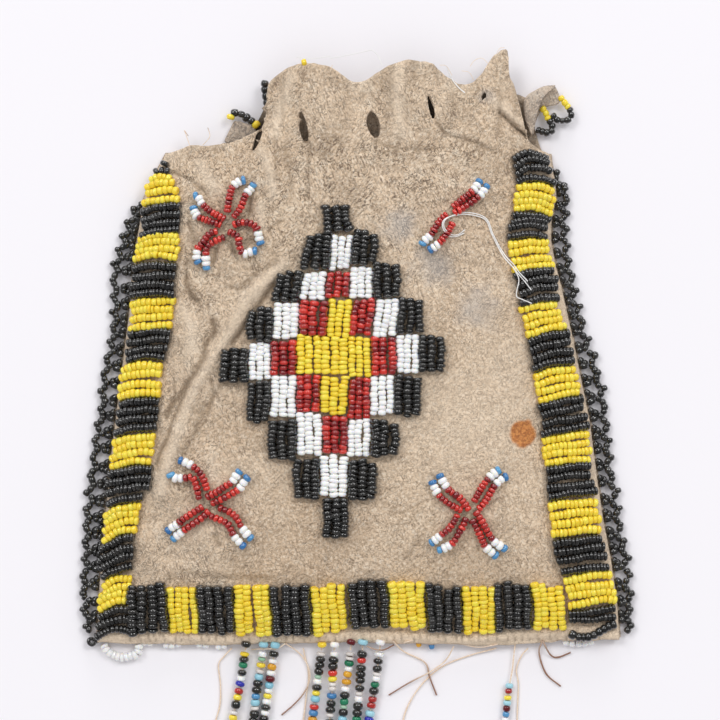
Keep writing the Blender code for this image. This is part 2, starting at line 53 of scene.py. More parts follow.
lens = bpy.data.cameras.new("camera")
lens.lens = 150
camera = bpy.data.objects.new("camera", lens)
camera.location = (0, 0, 815 * MM)
scene.collection.objects.link(camera)
scene.camera = camera


def lamp(name, place, size, watts):
    """A square soft lamp that faces the middle of the bag."""
    light = bpy.data.lights.new(name, "AREA")
    light.size = size
    light.energy = watts
    made = bpy.data.objects.new(name, light)
    made.location = place
    made.rotation_euler = made.location.to_track_quat("Z", "Y").to_euler()
    scene.collection.objects.link(made)


lamp("left_window", (-2.0, 2.1, 3.4), 1.6, 51.5)
lamp("right_window", (2.0, 2.1, 3.4), 1.6, 51.5)
lamp("mouth_window", (0.0, 1.9, 0.56), 0.7, 7.2)


class Level:
    """A value on its way through a finish; arithmetic written with it adds the Math nodes."""

    def __init__(self, finish, socket):
        self.finish = finish
        self.socket = socket

    def math(self, operation, first, second):
        return self.finish.node("ShaderNodeMath", {"operation": operation}, {0: first, 1: second})

    def __add__(self, other):
        return self.math("ADD", self, other)

    def __radd__(self, other):
        return self.math("ADD", other, self)

    def __sub__(self, other):
        return self.math("SUBTRACT", self, other)

    def __rsub__(self, other):
        return self.math("SUBTRACT", other, self)

    def __mul__(self, other):
        return self.math("MULTIPLY", self, other)

    def __rmul__(self, other):
        return self.math("MULTIPLY", other, self)

    def __abs__(self):
        return self.math("ABSOLUTE", self, 0)

    def ramp(self, low, high):
        """0 below low, 1 above high, and eased between them."""
        settings = {"interpolation_type": "SMOOTHSTEP"}
        return self.finish.node("ShaderNodeMapRange", settings, {0: self, 1: low, 2: high})


class Finish:
    """A material built round one Principled surface."""

    def __init__(self, name, **constants):
        self.material = bpy.data.materials.new(name)
        self.material.use_nodes = True
        self.tree = self.material.node_tree
        self.surface = self.tree.nodes["Principled BSDF"]
        for socket, value in constants.items():
            self.surface.inputs[socket.replace("_", " ")].default_value = value

    def join(self, value, socket):
        if isinstance(value, Level):
            self.tree.links.new(value.socket, socket)
        else:
            socket.default_value = value

    def node(self, kind, settings, inputs, output=0):
        """Adds a node: its settings first, then the values or links of its sockets."""
        made = self.tree.nodes.new(kind)
        for name, value in settings.items():
            setattr(made, name, value)
        for key, value in inputs.items():
            self.join(value, made.inputs[key])
        return Level(self, made.outputs[output])

    def place(self):
        return self.node("ShaderNodeTexCoord", {}, {}, "Object")

    def cloud(self, size, detail=3.0, roughness=0.5, place=None):
        """Soft noise whose lumps are about size millimetres across."""
        inputs = {"Vector": place or self.place(), "Scale": 1000 / size, "Detail": detail, "Roughness": roughness}
        return self.node("ShaderNodeTexNoise", {}, inputs, "Fac")

    def mix(self, share, first, second):
        settings = {"data_type": "RGBA", "blend_type": "MIX", "clamp_factor": True}
        return self.node("ShaderNodeMix", settings, {0: share, 6: first, 7: second}, 2)

    def carried(self, name):
        """A number that the mesh carries at each of its points."""
        return self.node("ShaderNodeAttribute", {"attribute_name": name}, {}, "Fac")

    def bump(self, height, depth, strength=1.0):
        """Raises the surface by depth millimetres where height is 1."""
        inputs = {"Strength": strength, "Distance": depth * MM, "Height": height}
        self.join(self.node("ShaderNodeBump", {}, inputs, "Normal"), self.surface.inputs["Normal"])

    def paint(self, **sockets):
        for socket, value in sockets.items():
            self.join(value, self.surface.inputs[socket.replace("_", " ")])


table = Finish("table", Roughness=0.9, Specular_IOR_Level=0.2)
table.paint(Base_Color=table.mix(table.cloud(260, 2.0), (0.912, 0.892, 0.922, 1), (0.928, 0.908, 0.938, 1)))
table_mesh = bpy.data.meshes.new("table")
table_mesh.from_pydata([(-2, -2, 0), (2, -2, 0), (2, 2, 0), (-2, 2, 0)], [], [(0, 1, 2, 3)])
table_mesh.materials.append(table.material)
table_top = bpy.data.objects.new("table", table_mesh)
table_top.location.z = -0.05 * MM
scene.collection.objects.link(table_top)

room = bpy.data.worlds.new("room")
room.use_nodes = True
scene.world = room
room_light = room.node_tree.nodes["Background"]
room_light.inputs["Color"].default_value = (0.98, 0.98, 1.0, 1)
sight = room.node_tree.nodes.new("ShaderNodeLightPath")
strength = room.node_tree.nodes.new("ShaderNodeMapRange")
strength.inputs["To Min"].default_value = 0.62
strength.inputs["To Max"].default_value = 0.14
room.node_tree.links.new(sight.outputs["Is Glossy Ray"], strength.inputs["Value"])
room.node_tree.links.new(strength.outputs[0], room_light.inputs["Strength"])

# The hides. Both are smoke-tanned buckskin, sewn flesh side out at the sides and the hem.
# The back one lies flat, the front one crowns over it and is rubbed, creased and stained.
LEFT_EDGE = (
    (-77.76, -71.2), (-61.56, -70.6), (-43.7, -69.1), (-24.3, -67.2), (-4.9, -64.8), (16.2, -62.1),
    (32.4, -60.5), (44.0, -58.4), (50.0, -55.6), (56.2, -52.3),
)
RIGHT_EDGE = (
    (-77.76, 70.4), (-64.8, 69.6), (-53.5, 67.9), (-43.7, 66.0), (-32.4, 64.3), (-16.2, 62.2),
    (-6.5, 60.2), (4.9, 57.9), (19.4, 54.7), (25.0, 53.2), (32.4, 51.8), (38.0, 51.9), (44.0, 53.2), (48.5, 52.9),
    (53.0, 51.8), (56.7, 51.4),
)
HEM = -77.76
FOLD = 57.83
HIDE_THICKNESS = 1.3
SEAM_HEIGHT = 2.25
CROWN = 7.5
CROWN_RISE = 48.6
PLEAT_PITCH = 25.6
PLEAT_PHASE = 12.87


def along(table_of_points, at):
    """The second value of a table, read at the first."""
    firsts, seconds = zip(*table_of_points)
    return np.interp(at, firsts, seconds)


def ripple(x, y, size, seed):
    """Soft random relief from -1 to 1, in lumps about size millimetres across."""
    lattice = np.random.default_rng(seed).uniform(-1, 1, (97, 97))
    a, b = (x + 130) / size, (y + 130) / size
    i, j = np.floor(a).astype(int), np.floor(b).astype(int)
    a, b = a - i, b - j
    a, b = a * a * (3 - 2 * a), b * b * (3 - 2 * b)
    i, j = i % 96, j % 96
    near = lattice[i, j] * (1 - a) + lattice[i + 1, j] * a
    far = lattice[i, j + 1] * (1 - a) + lattice[i + 1, j + 1] * a
    return near * (1 - b) + far * b


def near_line(x, y, line, width):
    """1 on a line of points, dying away over width to either side."""
    nearest = np.full(np.shape(x), 1e9)
    for (ax, ay), (bx, by) in zip(line, line[1:]):
        run = (bx - ax) ** 2 + (by - ay) ** 2
        t = np.clip(((x - ax) * (bx - ax) + (y - ay) * (by - ay)) / run, 0, 1)
        nearest = np.minimum(nearest, (x - ax - t * (bx - ax)) ** 2 + (y - ay - t * (by - ay)) ** 2)
    return np.exp(-nearest / width ** 2)


# Ridges and creases of the front hide: points of the line, its width, and its height.
FOLDS = (
    (((-20.8, 25.4), (-27.8, 19.0), (-31.9, 13.8), (-34.6, 7.7), (-40.1, -0.5), (-45.5, -9.0), (-48.5, -18.0),
      (-51.5, -26.0), (-53.5, -36.0)), 2.0, 1.1),
    (((-22.5, 20.5), (-24.1, 19.0), (-29.1, 11.6), (-31.9, 7.7), (-34.2, 4.6)), 0.9, -1.1),
    (((-39.6, 10.7), (-39.0, 7.7), (-41.5, 4.1), (-42.3, 0.0), (-44.5, -3.6), (-46.5, -6.0), (-48.4, -9.6),
      (-50.6, -11.6), (-52.2, -15.4)), 1.0, -0.9),
    (((-46.2, -6.3), (-49.2, -13.1), (-50.8, -17.2), (-52.4, -22.4), (-54.2, -25.5), (-54.8, -28.3)), 0.6, -0.7),
    (((-49.9, -6.0), (-50.2, -13.1)), 0.6, -0.5),
    (((-47.0, 22.0), (-46.2, 18.7), (-44.0, 16.0)), 0.8, -0.6),
    (((-36.0, 19.8), (-32.4, 19.0), (-27.7, 23.4), (-22.2, 26.5)), 0.9, -0.5),
    (((-37.4, -6.6), (-39.6, -10.2), (-41.0, -13.8)), 0.7, -0.5),
    (((-48.5, 14.0), (-45.0, 9.0), (-46.0, 3.0)), 2.2, 0.7),
    (((37.6, 66.6), (39.4, 65.0), (41.8, 62.8), (44.6, 60.6)), 0.55, -1.3),
    (((36.5, 69.5), (40.5, 65.8), (44.0, 63.6)), 1.3, 0.8),
    (((-26.5, 56.5), (-24.0, 50.5), (-23.5, 44.0)), 1.3, 0.5),
    (((-20.5, 57.0), (-18.8, 50.0), (-18.2, 45.0)), 1.0, -0.4),
    (((-5.0, 74.0), (-3.5, 68.0), (-4.4, 60.0), (-6.0, 52.0)), 2.2, -0.3),
    (((27.0, 75.0), (25.4, 69.0), (24.0, 62.0)), 2.4, -0.35),
    (((10.0, 78.0), (9.6, 70.0), (11.2, 61.0)), 2.6, 0.5),
    (((-18.5, 76.0), (-21.0, 68.5), (-22.8, 61.0)), 1.8, 0.5),
    (((-40.0, -5.4), (-39.2, -9.5), (-40.2, -12.2), (-41.3, -15.7), (-42.4, -17.6)), 0.5, -0.6),
    (((-41.9, -12.2), (-44.0, -18.9), (-46.5, -23.0), (-47.5, -25.1)), 1.2, -0.5),
    (((-29.2, 46.4), (-29.7, 43.2), (-29.7, 39.2)), 0.9, -0.7),
    (((-30.8, 31.6), (-28.4, 32.4)), 1.1, -0.5),
    (((-34.6, 31.1), (-33.5, 28.9)), 0.8, -0.7),
    (((-45.9, 36.5), (-44.3, 31.0)), 1.3, -0.5),
    (((-38.6, 29.7), (-39.4, 26.5)), 0.8, -0.7),
    (((-26.5, 41.9), (-26.5, 35.1)), 1.0, 0.5),
    (((-43.2, 52.7), (-39.2, 45.9)), 2.0, 0.5),
    (((-50.8, 50.8), (-45.9, 48.6), (-41.9, 45.4)), 0.5, -0.6),
    (((-13.2, 58.0), (-13.8, 52.7), (-13.8, 48.6), (-14.0, 43.2)), 0.45, -0.5),
    (((-22.7, 59.4), (-22.7, 54.0), (-22.4, 48.6)), 0.5, -0.35),
    (((-24.3, 34.6), (-22.7, 36.5), (-20.8, 37.3)), 0.5, -0.4),
    (((-47.0, 25.7), (-46.4, 20.3), (-45.4, 16.7), (-43.2, 15.4)), 0.5, -0.6),
    (((20.5, 63.9), (22.1, 61.5), (24.3, 60.2), (28.6, 59.4), (33.8, 57.2), (36.5, 55.9)), 0.45, -0.6),
    (((4.6, 58.5), (9.2, 56.7), (15.1, 56.4), (20.2, 56.7)), 0.6, -0.4),
    (((-33.5, -42.0), (-30.0, -43.7), (-27.0, -44.6)), 0.8, -0.3),
    (((-39.2, -47.2), (-37.8, -49.7)), 0.9, -0.5),
    (((16.5, -47.5), (13.8, -51.5), (11.9, -53.5)), 0.7, -0.4),
    (((17.6, -37.8), (11.9, -40.8), (7.6, -41.6)), 0.5, -0.3),
    (((33.5, -38.9), (38.9, -36.7)), 0.6, -0.3),
    (((-47.5, -57.5), (-35.6, -58.6), (-24.3, -58.9)), 1.0, -0.4),
)


def flat_crown(x, y):
    """Middle of the front hide over the table, without its relief."""
    left, right = along(LEFT_EDGE, y), along(RIGHT_EDGE, y)
    off_middle = np.clip(np.abs(2 * (x - left) / (right - left) - 1), 0, 1)
    rise = np.clip((y - HEM - 3.4) / (CROWN_RISE - 3.4), 0, 1)
    return SEAM_HEIGHT + CROWN * (1 - off_middle ** 3) * np.sin(rise * math.pi / 2)


def nap(x, y):
    """How far the flesh side is roughed up: little at the middle of the hem, most at the left and the top."""
    return np.clip(np.maximum((y + 5) / 50, (-x - 22) / 22), 0, 1) * np.clip((48 - x) / 25, 0.35, 1)


def wrinkles(x, y):
    """Fine upright puckers of the gathered neck, from -1 to 1."""
    return np.clip((y - FOLD + 8) / 10, 0, 1) * ripple(2.4 * x, 0.45 * y, 5, 18)


def relief(x, y):
    """What wear, sewing and gathering add to the smooth crown."""
    slack = nap(x, y)
    total = 0.55 * ripple(x, y, 21, 3) + (0.32 + 0.45 * slack) * ripple(x, y, 9.0, 4)
    total = total + (0.12 + 0.14 * slack) * ripple(x, y, 3.9, 5) + (0.05 + 0.09 * slack) * ripple(x, y, 1.9, 7)
    for line, width, height in FOLDS:
        total = total + height * near_line(x, y, line, width)
    gathered = np.clip((y - FOLD + 6) / 24, 0, 1)
    total = total + 1.1 * gathered * np.cos(2 * math.pi * (x - PLEAT_PHASE) / PLEAT_PITCH)
    total = total + 0.35 * gathered * ripple(1.6 * x, 0.5 * y, 6, 6) + 0.24 * wrinkles(x, y)
    left, right = along(LEFT_EDGE, y), along(RIGHT_EDGE, y)
    inwards = np.clip(np.minimum(np.minimum(x - left, right - x), y - HEM) / 7, 0, 1)
    return total * inwards


def hide_top(x, y):
    """Height of the front hide's face over the table."""
    x, y = np.asarray(x, float), np.asarray(y, float)
    return flat_crown(x, np.minimum(y, FOLD)) + relief(x, y) + HIDE_THICKNESS / 2


def mesh_piece(name, points, faces, finishes, carried=(), face_finish=None):
    """An object from arrays of points in millimetres and faces of one size."""
    mesh = bpy.data.meshes.new(name)
    mesh.vertices.add(len(points))
    mesh.vertices.foreach_set("co", (np.asarray(points, np.float32) * MM).ravel())
    sides = faces.shape[1]
    mesh.loops.add(faces.size)
    mesh.loops.foreach_set("vertex_index", faces.astype(np.int32).ravel())
    mesh.polygons.add(len(faces))
    mesh.polygons.foreach_set("loop_start", np.arange(0, faces.size, sides, dtype=np.int32))
    if face_finish is not None:
        mesh.polygons.foreach_set("material_index", np.asarray(face_finish, np.int32))
    mesh.update(calc_edges=True)
    mesh.polygons.foreach_set("use_smooth", np.ones(len(faces), bool))
    for key, values in dict(carried).items():
        mesh.attributes.new(key, "FLOAT", "POINT").data.foreach_set("value", np.asarray(values, np.float32))
    for finish in finishes:
        mesh.materials.append(finish.material)
    made = bpy.data.objects.new(name, mesh)
    scene.collection.objects.link(made)
    return made


def grid_faces(columns, rows, keep=None):
    """Quads of a grid stored column by column; keep marks the points that stay."""
    at = np.arange(columns * rows).reshape(columns, rows)
    faces = np.stack([at[:-1, :-1], at[1:, :-1], at[1:, 1:], at[:-1, 1:]], axis=-1).reshape(-1, 4)
    return faces if keep is None else faces[keep.ravel()[faces].all(axis=1)]


def thicken(piece, thickness, offset=-1.0):
    shell = piece.modifiers.new("thickness", "SOLIDIFY")
    shell.thickness = thickness * MM
    shell.offset = offset


buckskin = Finish("buckskin", Roughness=0.92, Specular_IOR_Level=0.15, Sheen_Weight=0.10, Sheen_Roughness=0.6)
ground = buckskin.place()
worn = buckskin.carried("nap")
patches = buckskin.cloud(34, 4.0, 0.55, ground).ramp(0.38, 0.62)
mottle = buckskin.cloud(7.0, 4.0, 0.62, ground)
grain = buckskin.cloud(0.75, 3.0, 0.65, ground)
here = buckskin.cloud(4.5, 3.0, 0.6, ground).ramp(0.40, 0.60)


def strokes(size, twist, low, high):
    """Thin curled lines, like short hair roots and fibres, from the level line of a warped noise."""
    inputs = {"Vector": ground, "Scale": 1000 / size, "Detail": 1.0, "Roughness": 0.5, "Distortion": twist}
    level = buckskin.node("ShaderNodeTexNoise", {}, inputs, "Fac")
    return 1 - abs(level - 0.5).ramp(low, high)


def fibres(turn, width, length, curl):
    """Noise drawn out into fibres that lie one way, in millimetres across and long."""
    settings, drawn = {"vector_type": "TEXTURE"}, {"Rotation": (0, 0, turn), "Scale": (1, length / width, 1)}
    laid = buckskin.node("ShaderNodeMapping", settings, {"Vector": ground, **drawn})
    inputs = {"Vector": laid, "Scale": 1000 / width, "Detail": 2.0, "Roughness": 0.65, "Distortion": curl}
    return buckskin.node("ShaderNodeTexNoise", {}, inputs, "Fac")


hair = strokes(2.0, 1.6, 0.010, 0.050)
lay = buckskin.cloud(8.0, 2.0, 0.5, ground).ramp(0.46, 0.54)
fluff = fibres(0.45, 0.40, 1.9, 1.0) * lay + fibres(-0.75, 0.36, 1.7, 1.3) * (1 - lay)
dots = buckskin.node("ShaderNodeTexVoronoi", {}, {"Vector": ground, "Scale": 1000 / 1.3}, "Distance")
pepper = 1 - dots.ramp(0.10, 0.22)
worked = buckskin.mix(patches, (0.740, 0.548, 0.372, 1), (0.805, 0.616, 0.434, 1))
worked = buckskin.mix(buckskin.carried("whipped"), worked, (1.0, 0.800, 0.575, 1))
worked = buckskin.mix(mottle.ramp(0.52, 0.70) * (0.20 + worn * 0.36), worked, (0.400, 0.295, 0.200, 1))
worked = buckskin.mix(mottle.ramp(0.48, 0.32) * (0.20 + worn * 0.45), worked, (0.930, 0.775, 0.595, 1))
worked = buckskin.mix(grain.ramp(0.50, 0.66) * 0.58, worked, (0.330, 0.235, 0.155, 1))
worked = buckskin.mix(grain.ramp(0.50, 0.34) * 0.55, worked, (0.980, 0.860, 0.700, 1))
worked = buckskin.mix(fluff.ramp(0.53, 0.66) * (0.30 + here * 0.20 + worn * 0.40), worked, (0.195, 0.135, 0.098, 1))
worked = buckskin.mix(fluff.ramp(0.47, 0.33) * (0.22 + worn * 0.22), worked, (0.985, 0.880, 0.745, 1))
worked = buckskin.mix(hair * (0.10 + here * (0.25 + worn * 0.38)), worked, (0.150, 0.100, 0.066, 1))
worked = buckskin.mix(pepper * (here * 0.45 + worn * 0.25), worked, (0.130, 0.085, 0.055, 1))
cream = buckskin.mix(fluff.ramp(0.50, 0.64) * 0.8, (1.0, 0.800, 0.590, 1), (0.640, 0.430, 0.275, 1))
worked = buckskin.mix(buckskin.carried("whipped") * 0.80, worked, cream)
rubbed = buckskin.carried("rubbed")
creased = buckskin.carried("creased")
soiled = buckskin.carried("soiled")
stained = buckskin.carried("stained")
# Lighter where the hide is rubbed at its edges and in patches, and a painted highlight on the fold ridges and the
# crests of the neck wrinkles.
worked = buckskin.mix(rubbed * 0.50, worked, (0.930, 0.765, 0.585, 1))
# Painted shade in the sunk folds, the troughs of the neck wrinkles and the stitch dimples of the hem.
worked = buckskin.mix(creased * 0.72, worked, (0.225, 0.155, 0.095, 1))
worked = buckskin.mix(soiled * 0.60, worked, (0.450, 0.435, 0.430, 1))
rust = buckskin.mix(grain.ramp(0.42, 0.60), (0.70, 0.265, 0.060, 1), (0.46, 0.145, 0.032, 1))
worked = buckskin.mix(stained, worked, rust)
# Painted shade of the pouch's inside: behind the slits, beside the neck and on the lining.
worked = buckskin.mix(buckskin.carried("sooty"), worked, (0.035, 0.024, 0.017, 1))
buckskin.paint(Base_Color=worked)
buckskin.bump(mottle * 0.5 + grain * 0.6 - fluff * 0.8 - hair * 0.25 - pepper * 0.2, 0.6, 0.9)

# The back hide lies flat on the table. Its neck shows only at the two ears.
BACK_TOP = (
    (-52.0, 56.0), (-41.8, 57.0), (-36.8, 59.0), (-31.0, 60.0), (-25.9, 68.5), (-24.3, 74.0),
    (-18.9, 76.6), (-2.9, 73.7), (10.7, 77.8), (24.3, 73.7), (36.5, 76.4), (41.0, 72.6),
    (44.2, 71.6), (46.4, 69.5), (47.6, 62.0), (49.5, 56.0),
)
# Lower edge of the front hide; the back one stops a little short of it.
HEM_LINE = (
    (-72.0, -76.6), (-62.1, -76.3), (-53.0, -76.9), (-43.2, -76.95), (-32.4, -77.25), (-24.0, -76.7),
    (-16.2, -76.8), (-2.7, -76.4), (8.0, -76.8), (18.9, -76.9), (27.0, -77.5), (37.8, -76.8),
    (45.9, -76.1), (56.0, -75.8), (64.8, -75.9), (72.0, -76.0),
)


def smooth_line(route, count=40):
    """Points spread evenly on one smooth curve through the route's own points."""
    knots = np.asarray(route, float)
    ends = np.vstack([2 * knots[0] - knots[1], knots, 2 * knots[-1] - knots[-2]])
    t = np.linspace(0, 1, 12, endpoint=False)[:, None]
    runs = [
        0.5 * (2 * b + (c - a) * t + (2 * a - 5 * b + 4 * c - d) * t ** 2 + (3 * b - a - 3 * c + d) * t ** 3)
        for a, b, c, d in zip(ends, ends[1:], ends[2:], ends[3:])
    ]
    line = np.vstack([*runs, knots[-1:]])
    gone = np.concatenate([[0], np.cumsum(np.linalg.norm(np.diff(line, axis=0), axis=1))])
    even = np.linspace(0, gone[-1], count)
    return np.stack([np.interp(even, gone, line[:, k]) for k in range(line.shape[1])], axis=-1)


def side_to_side(top_line, columns, rows, margin, short=0.0):
    """Grid of points between the side edges, from short of the hem up to the top line."""
    xs, ys = smooth_line(top_line, 900).T
    xs = np.maximum.accumulate(xs)
    ys = ys + 0.14 * ripple(xs, 0 * xs, 1.1, 17) + 0.14 * ripple(xs, 0 * xs, 2.6, 19)
    left, right = along(LEFT_EDGE, 60) - margin, along(RIGHT_EDGE, 60) + margin
    dense = np.linspace(left, right, 2000)
    top = np.interp(dense, xs, ys)
    gone = np.concatenate([[0], np.cumsum(np.hypot(np.diff(dense), 0.30 * np.diff(top)))])
    at = np.interp(np.linspace(0, gone[-1], columns), gone, dense)[:, None]
    even = np.linspace(0, 1, columns)[:, None]
    low = along(HEM_LINE, 1.14 * (left + even * (right - left)))
    low = low + 0.30 * ripple(140 * even - 70, 0 * even, 2.3, 12) + short
    top = np.interp(at, xs, ys)
    wide = columns // 4
    body_top = np.convolve(np.pad(top[:, 0], wide, "edge"), np.ones(2 * wide + 1) / (2 * wide + 1), "valid")[:, None]
    climb = np.linspace(0, 1, rows)[None, :]
    near_top = climb ** 9
    share = (at - left) / (right - left) * near_top + even * (1 - near_top)
    y = low + (body_top - low) * climb + (top - body_top) * near_top
    x = along(LEFT_EDGE, y) - margin + (along(RIGHT_EDGE, y) - along(LEFT_EDGE, y) + 2 * margin) * share
    return x, y


BACK_COLUMNS = BACK_ROWS = 110
x, y = side_to_side(BACK_TOP, BACK_COLUMNS, BACK_ROWS, 0.5, short=0.6)
z = HIDE_THICKNESS * np.ones_like(x) - 0.12 * (1 + ripple(x, y, 4, 8))
points = np.stack([x, y, z], axis=-1).reshape(-1, 3)
marks = {"rubbed": 0.2 * np.ones(x.size), "soiled": 0.2 * np.ones(x.size), "nap": 0.4 * np.ones(x.size)}
# Painted shade darkens the back hide behind each slit of the neck, where the inside of the pouch shows through.
for (slit_x, slit_y), sooty in (
    ((-27.6, 59.3), 0.9), ((-14.6, 62.4), 0.35), ((3.9, 62.6), 0.15), ((19.1, 67.8), 0.97), ((33.3, 71.0), 0.9),
):
    spread = np.hypot((x - slit_x) / 6, (y - slit_y) / 9).ravel()
    marks["sooty"] = np.maximum(marks.get("sooty", 0), sooty * np.clip(1.6 - spread, 0, 1))
# Painted shade on the strip of back hide in the gap beside the neck.
beside_neck = near_line(x, y, ((42.6, 72.0), (44.6, 66.0), (46.0, 62.0), (47.2, 58.6)), 1.5).ravel()
marks["sooty"] = np.maximum(marks["sooty"], 0.55 * beside_neck)
back_skin = mesh_piece("back_skin", points, grid_faces(BACK_COLUMNS, BACK_ROWS), [buckskin], marks)
thicken(back_skin, HIDE_THICKNESS - 0.25)
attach(back_skin, "root")
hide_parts("back_hide")

# The ears are corners of the back hide's neck. The right one has dried rolled over itself,
# so its cut edge stands up as a pale lip over the part beneath.
EAR_THICKNESS = 0.9
RIGHT_EAR = (
    ((46.9, 59.8, 2.6), (45.9, 62.0, 3.0), (44.8, 65.6, 3.0), (45.6, 65.6, 1.3), (46.8, 61.4, 1.0)),
    ((47.5, 65.8, 3.4), (45.9, 68.2, 4.0), (43.6, 71.2, 3.6), (44.8, 70.8, 1.6), (48.1, 66.8, 1.0)),
    ((48.9, 70.2, 4.5), (48.1, 71.5, 4.8), (46.9, 72.7, 4.2), (48.1, 72.0, 2.0), (50.5, 68.9, 1.3)),
    ((50.3, 72.1, 4.6), (50.0, 73.1, 4.7), (49.6, 74.3, 4.0), (51.0, 73.0, 2.3), (52.2, 69.0, 1.5)),
    ((52.6, 73.7, 3.5), (52.7, 73.9, 3.4), (52.8, 74.1, 3.2), (53.9, 72.2, 2.3), (54.6, 69.4, 1.8)),
)
LEFT_EAR = (
    ((-37.3, 58.8, 0.8), (-33.0, 58.9, 1.0), (-28.0, 59.2, 1.2)),
    ((-36.3, 60.4, 0.9), (-33.0, 61.0, 1.4), (-28.4, 61.0, 1.6)),
    ((-34.5, 63.8, 1.2), (-32.2, 63.5, 2.0), (-28.2, 62.4, 1.7)),
    ((-33.9, 64.9, 1.3), (-32.4, 64.6, 2.2), (-28.2, 63.2, 1.7)),
)


def ear(name, cage):
    """One ear, rounded from a coarse cage of points."""
    points = np.array(cage).reshape(-1, 3)
    faces = grid_faces(len(cage), len(cage[0]))
    ones = np.ones(len(points))
    marks = {"rubbed": 0.1 * ones, "soiled": 0.55 * ones, "nap": ones}
    made = mesh_piece(name, points, faces, [buckskin], marks)
    rounded = made.modifiers.new("rounded", "SUBSURF")
    rounded.levels = rounded.render_levels = 3
    thicken(made, EAR_THICKNESS, 0.0)
    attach(made, "root")
    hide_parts("back_hide")


ear("right_ear", RIGHT_EAR)
ear("left_ear", LEFT_EAR)

# The front hide with its free neck, one skin from the hem over the shoulders to the neck. Slits for a
# draw lace are cut through the neck, and the top edge is scalloped where the lace gathered it.
FRONT_TOP = (
    (-52.2, 55.3), (-50.8, 56.2), (-45.4, 57.9), (-40.9, 57.8), (-36.3, 58.3), (-31.7, 59.6), (-28.4, 61.3),
    (-26.3, 62.6), (-25.3, 66.0), (-25.0, 71.0), (-24.5, 74.4), (-21.9, 76.8), (-17.4, 79.0), (-12.9, 79.5),
    (-9.5, 79.2), (-6.6, 78.0), (-4.4, 76.4), (-2.5, 75.0), (-0.4, 74.6), (1.4, 75.0), (4.2, 76.9), (7.5, 78.7),
    (11.5, 80.1), (16.4, 80.1), (19.4, 79.4), (21.2, 77.8), (22.8, 76.7), (24.6, 75.7), (26.8, 74.2), (29.6, 74.4),
    (31.4, 75.6), (32.9, 77.3), (34.0, 79.3), (35.8, 81.7), (38.2, 83.3), (39.5, 83.4), (39.9, 81.5), (40.2, 76.5),
    (41.4, 74.2), (42.5, 70.5), (43.6, 66.5), (44.9, 61.0), (46.4, 58.3), (51.5, 55.5),
)
# Middle of each slit, its width, its length, and its lean in degrees.
SLITS = (
    ((-27.6, 59.3), 1.5, 6.2, -22), ((-15.3, 62.4), 2.3, 8.7, 12), ((3.6, 63.2), 3.5, 7.0, 14),
    ((19.1, 67.8), 1.4, 6.0, 12), ((33.3, 71.0), 1.6, 1.1, 0),
)
STAIN = (44.0, -19.7)
SMUDGES = ((20.3, 25.7, 7.0), (10.8, 36.5, 6.0), (31.5, 14.0, 7.0), (33.9, 71.0, 2.5))
FRONT_COLUMNS, FRONT_ROWS = 286, 312
LINING_COLUMNS, LINING_ROWS = 120, 130
chance = np.random.default_rng(11)


def front_grid(columns, rows):
    """Face of the front hide, its points that stay, and how far each lies from a sewn edge."""
    x, y = side_to_side(FRONT_TOP, columns, rows, 0.0)
    keep = np.ones(x.shape, bool)
    for (slit_x, slit_y), width, length, lean in SLITS:
        turn = math.radians(lean)
        ahead = (x - slit_x) * math.cos(turn) + (y - slit_y) * math.sin(turn)
        aside = -(x - slit_x) * math.sin(turn) + (y - slit_y) * math.cos(turn)
        half = width / 2 * np.sqrt(np.clip(1 - (2 * aside / length) ** 2, 0, 1))
        keep &= (np.abs(ahead) > np.maximum(0.4 * half, half - 0.45)) | (half < 0.25)
        push = np.where(np.abs(ahead) < half, np.sign(ahead) * half - ahead, 0)
        x, y = x + push * math.cos(turn), y + push * math.sin(turn)
    left, right = along(LEFT_EDGE, y), along(RIGHT_EDGE, y)
    from_edge = np.minimum(np.minimum(x - left, right - x), y - along(HEM_LINE, x))
    z = hide_top(x, y) - 0.45 * np.exp(-np.clip(from_edge, 0, 50) / 0.6)
    whipped = np.clip((-73.4 - y) / 1.0, 0, 1) * np.clip(from_edge / 0.8, 0, 1)
    # The seam allowance inside the hem makes the band a low roll.
    roll = 0.95 * np.sin(math.pi * np.clip((y - along(HEM_LINE, x)) / 4.0, 0, 1))
    z = z + roll + whipped * (0.34 * ripple(x, 0.4 * y, 1.25, 15) + 0.16 * ripple(x, y, 2.6, 16))
    return x, y, z, keep, from_edge


x, y, z, keep, from_edge = front_grid(FRONT_COLUMNS, FRONT_ROWS)
rubbed_and_lit_mask, crease_shade_mask = np.zeros_like(x), np.zeros_like(x)
for line, width, height in FOLDS:
    share = near_line(x, y, line, width)
    # Painted highlight on the raised folds, over the rubbing that they also have.
    rubbed_and_lit_mask = np.maximum(rubbed_and_lit_mask, 1.2 * share * (height > 0))
    # Painted shade in the sunk folds.
    crease_shade_mask = np.maximum(crease_shade_mask, share ** 1.6 * (height < 0) * min(1, -1.3 * height) * min(1, 1.2 / width))
from_top = np.interp(x, *zip(*FRONT_TOP)) - y
rubbed_and_lit_mask = np.maximum(rubbed_and_lit_mask, 1.0 * np.exp(-np.clip(from_edge - 1.5, 0, 50) / 2.5))
# Painted highlight on the crests of the neck wrinkles.
rubbed_and_lit_mask = np.maximum(rubbed_and_lit_mask, 0.9 * np.clip(wrinkles(x, y) - 0.25, 0, 1))
# Painted shade in the troughs of the neck wrinkles.
crease_shade_mask = np.maximum(crease_shade_mask, 0.7 * np.clip(-wrinkles(x, y) - 0.25, 0, 1))
whipped = np.clip((-73.6 - y) / 0.8, 0, 1)
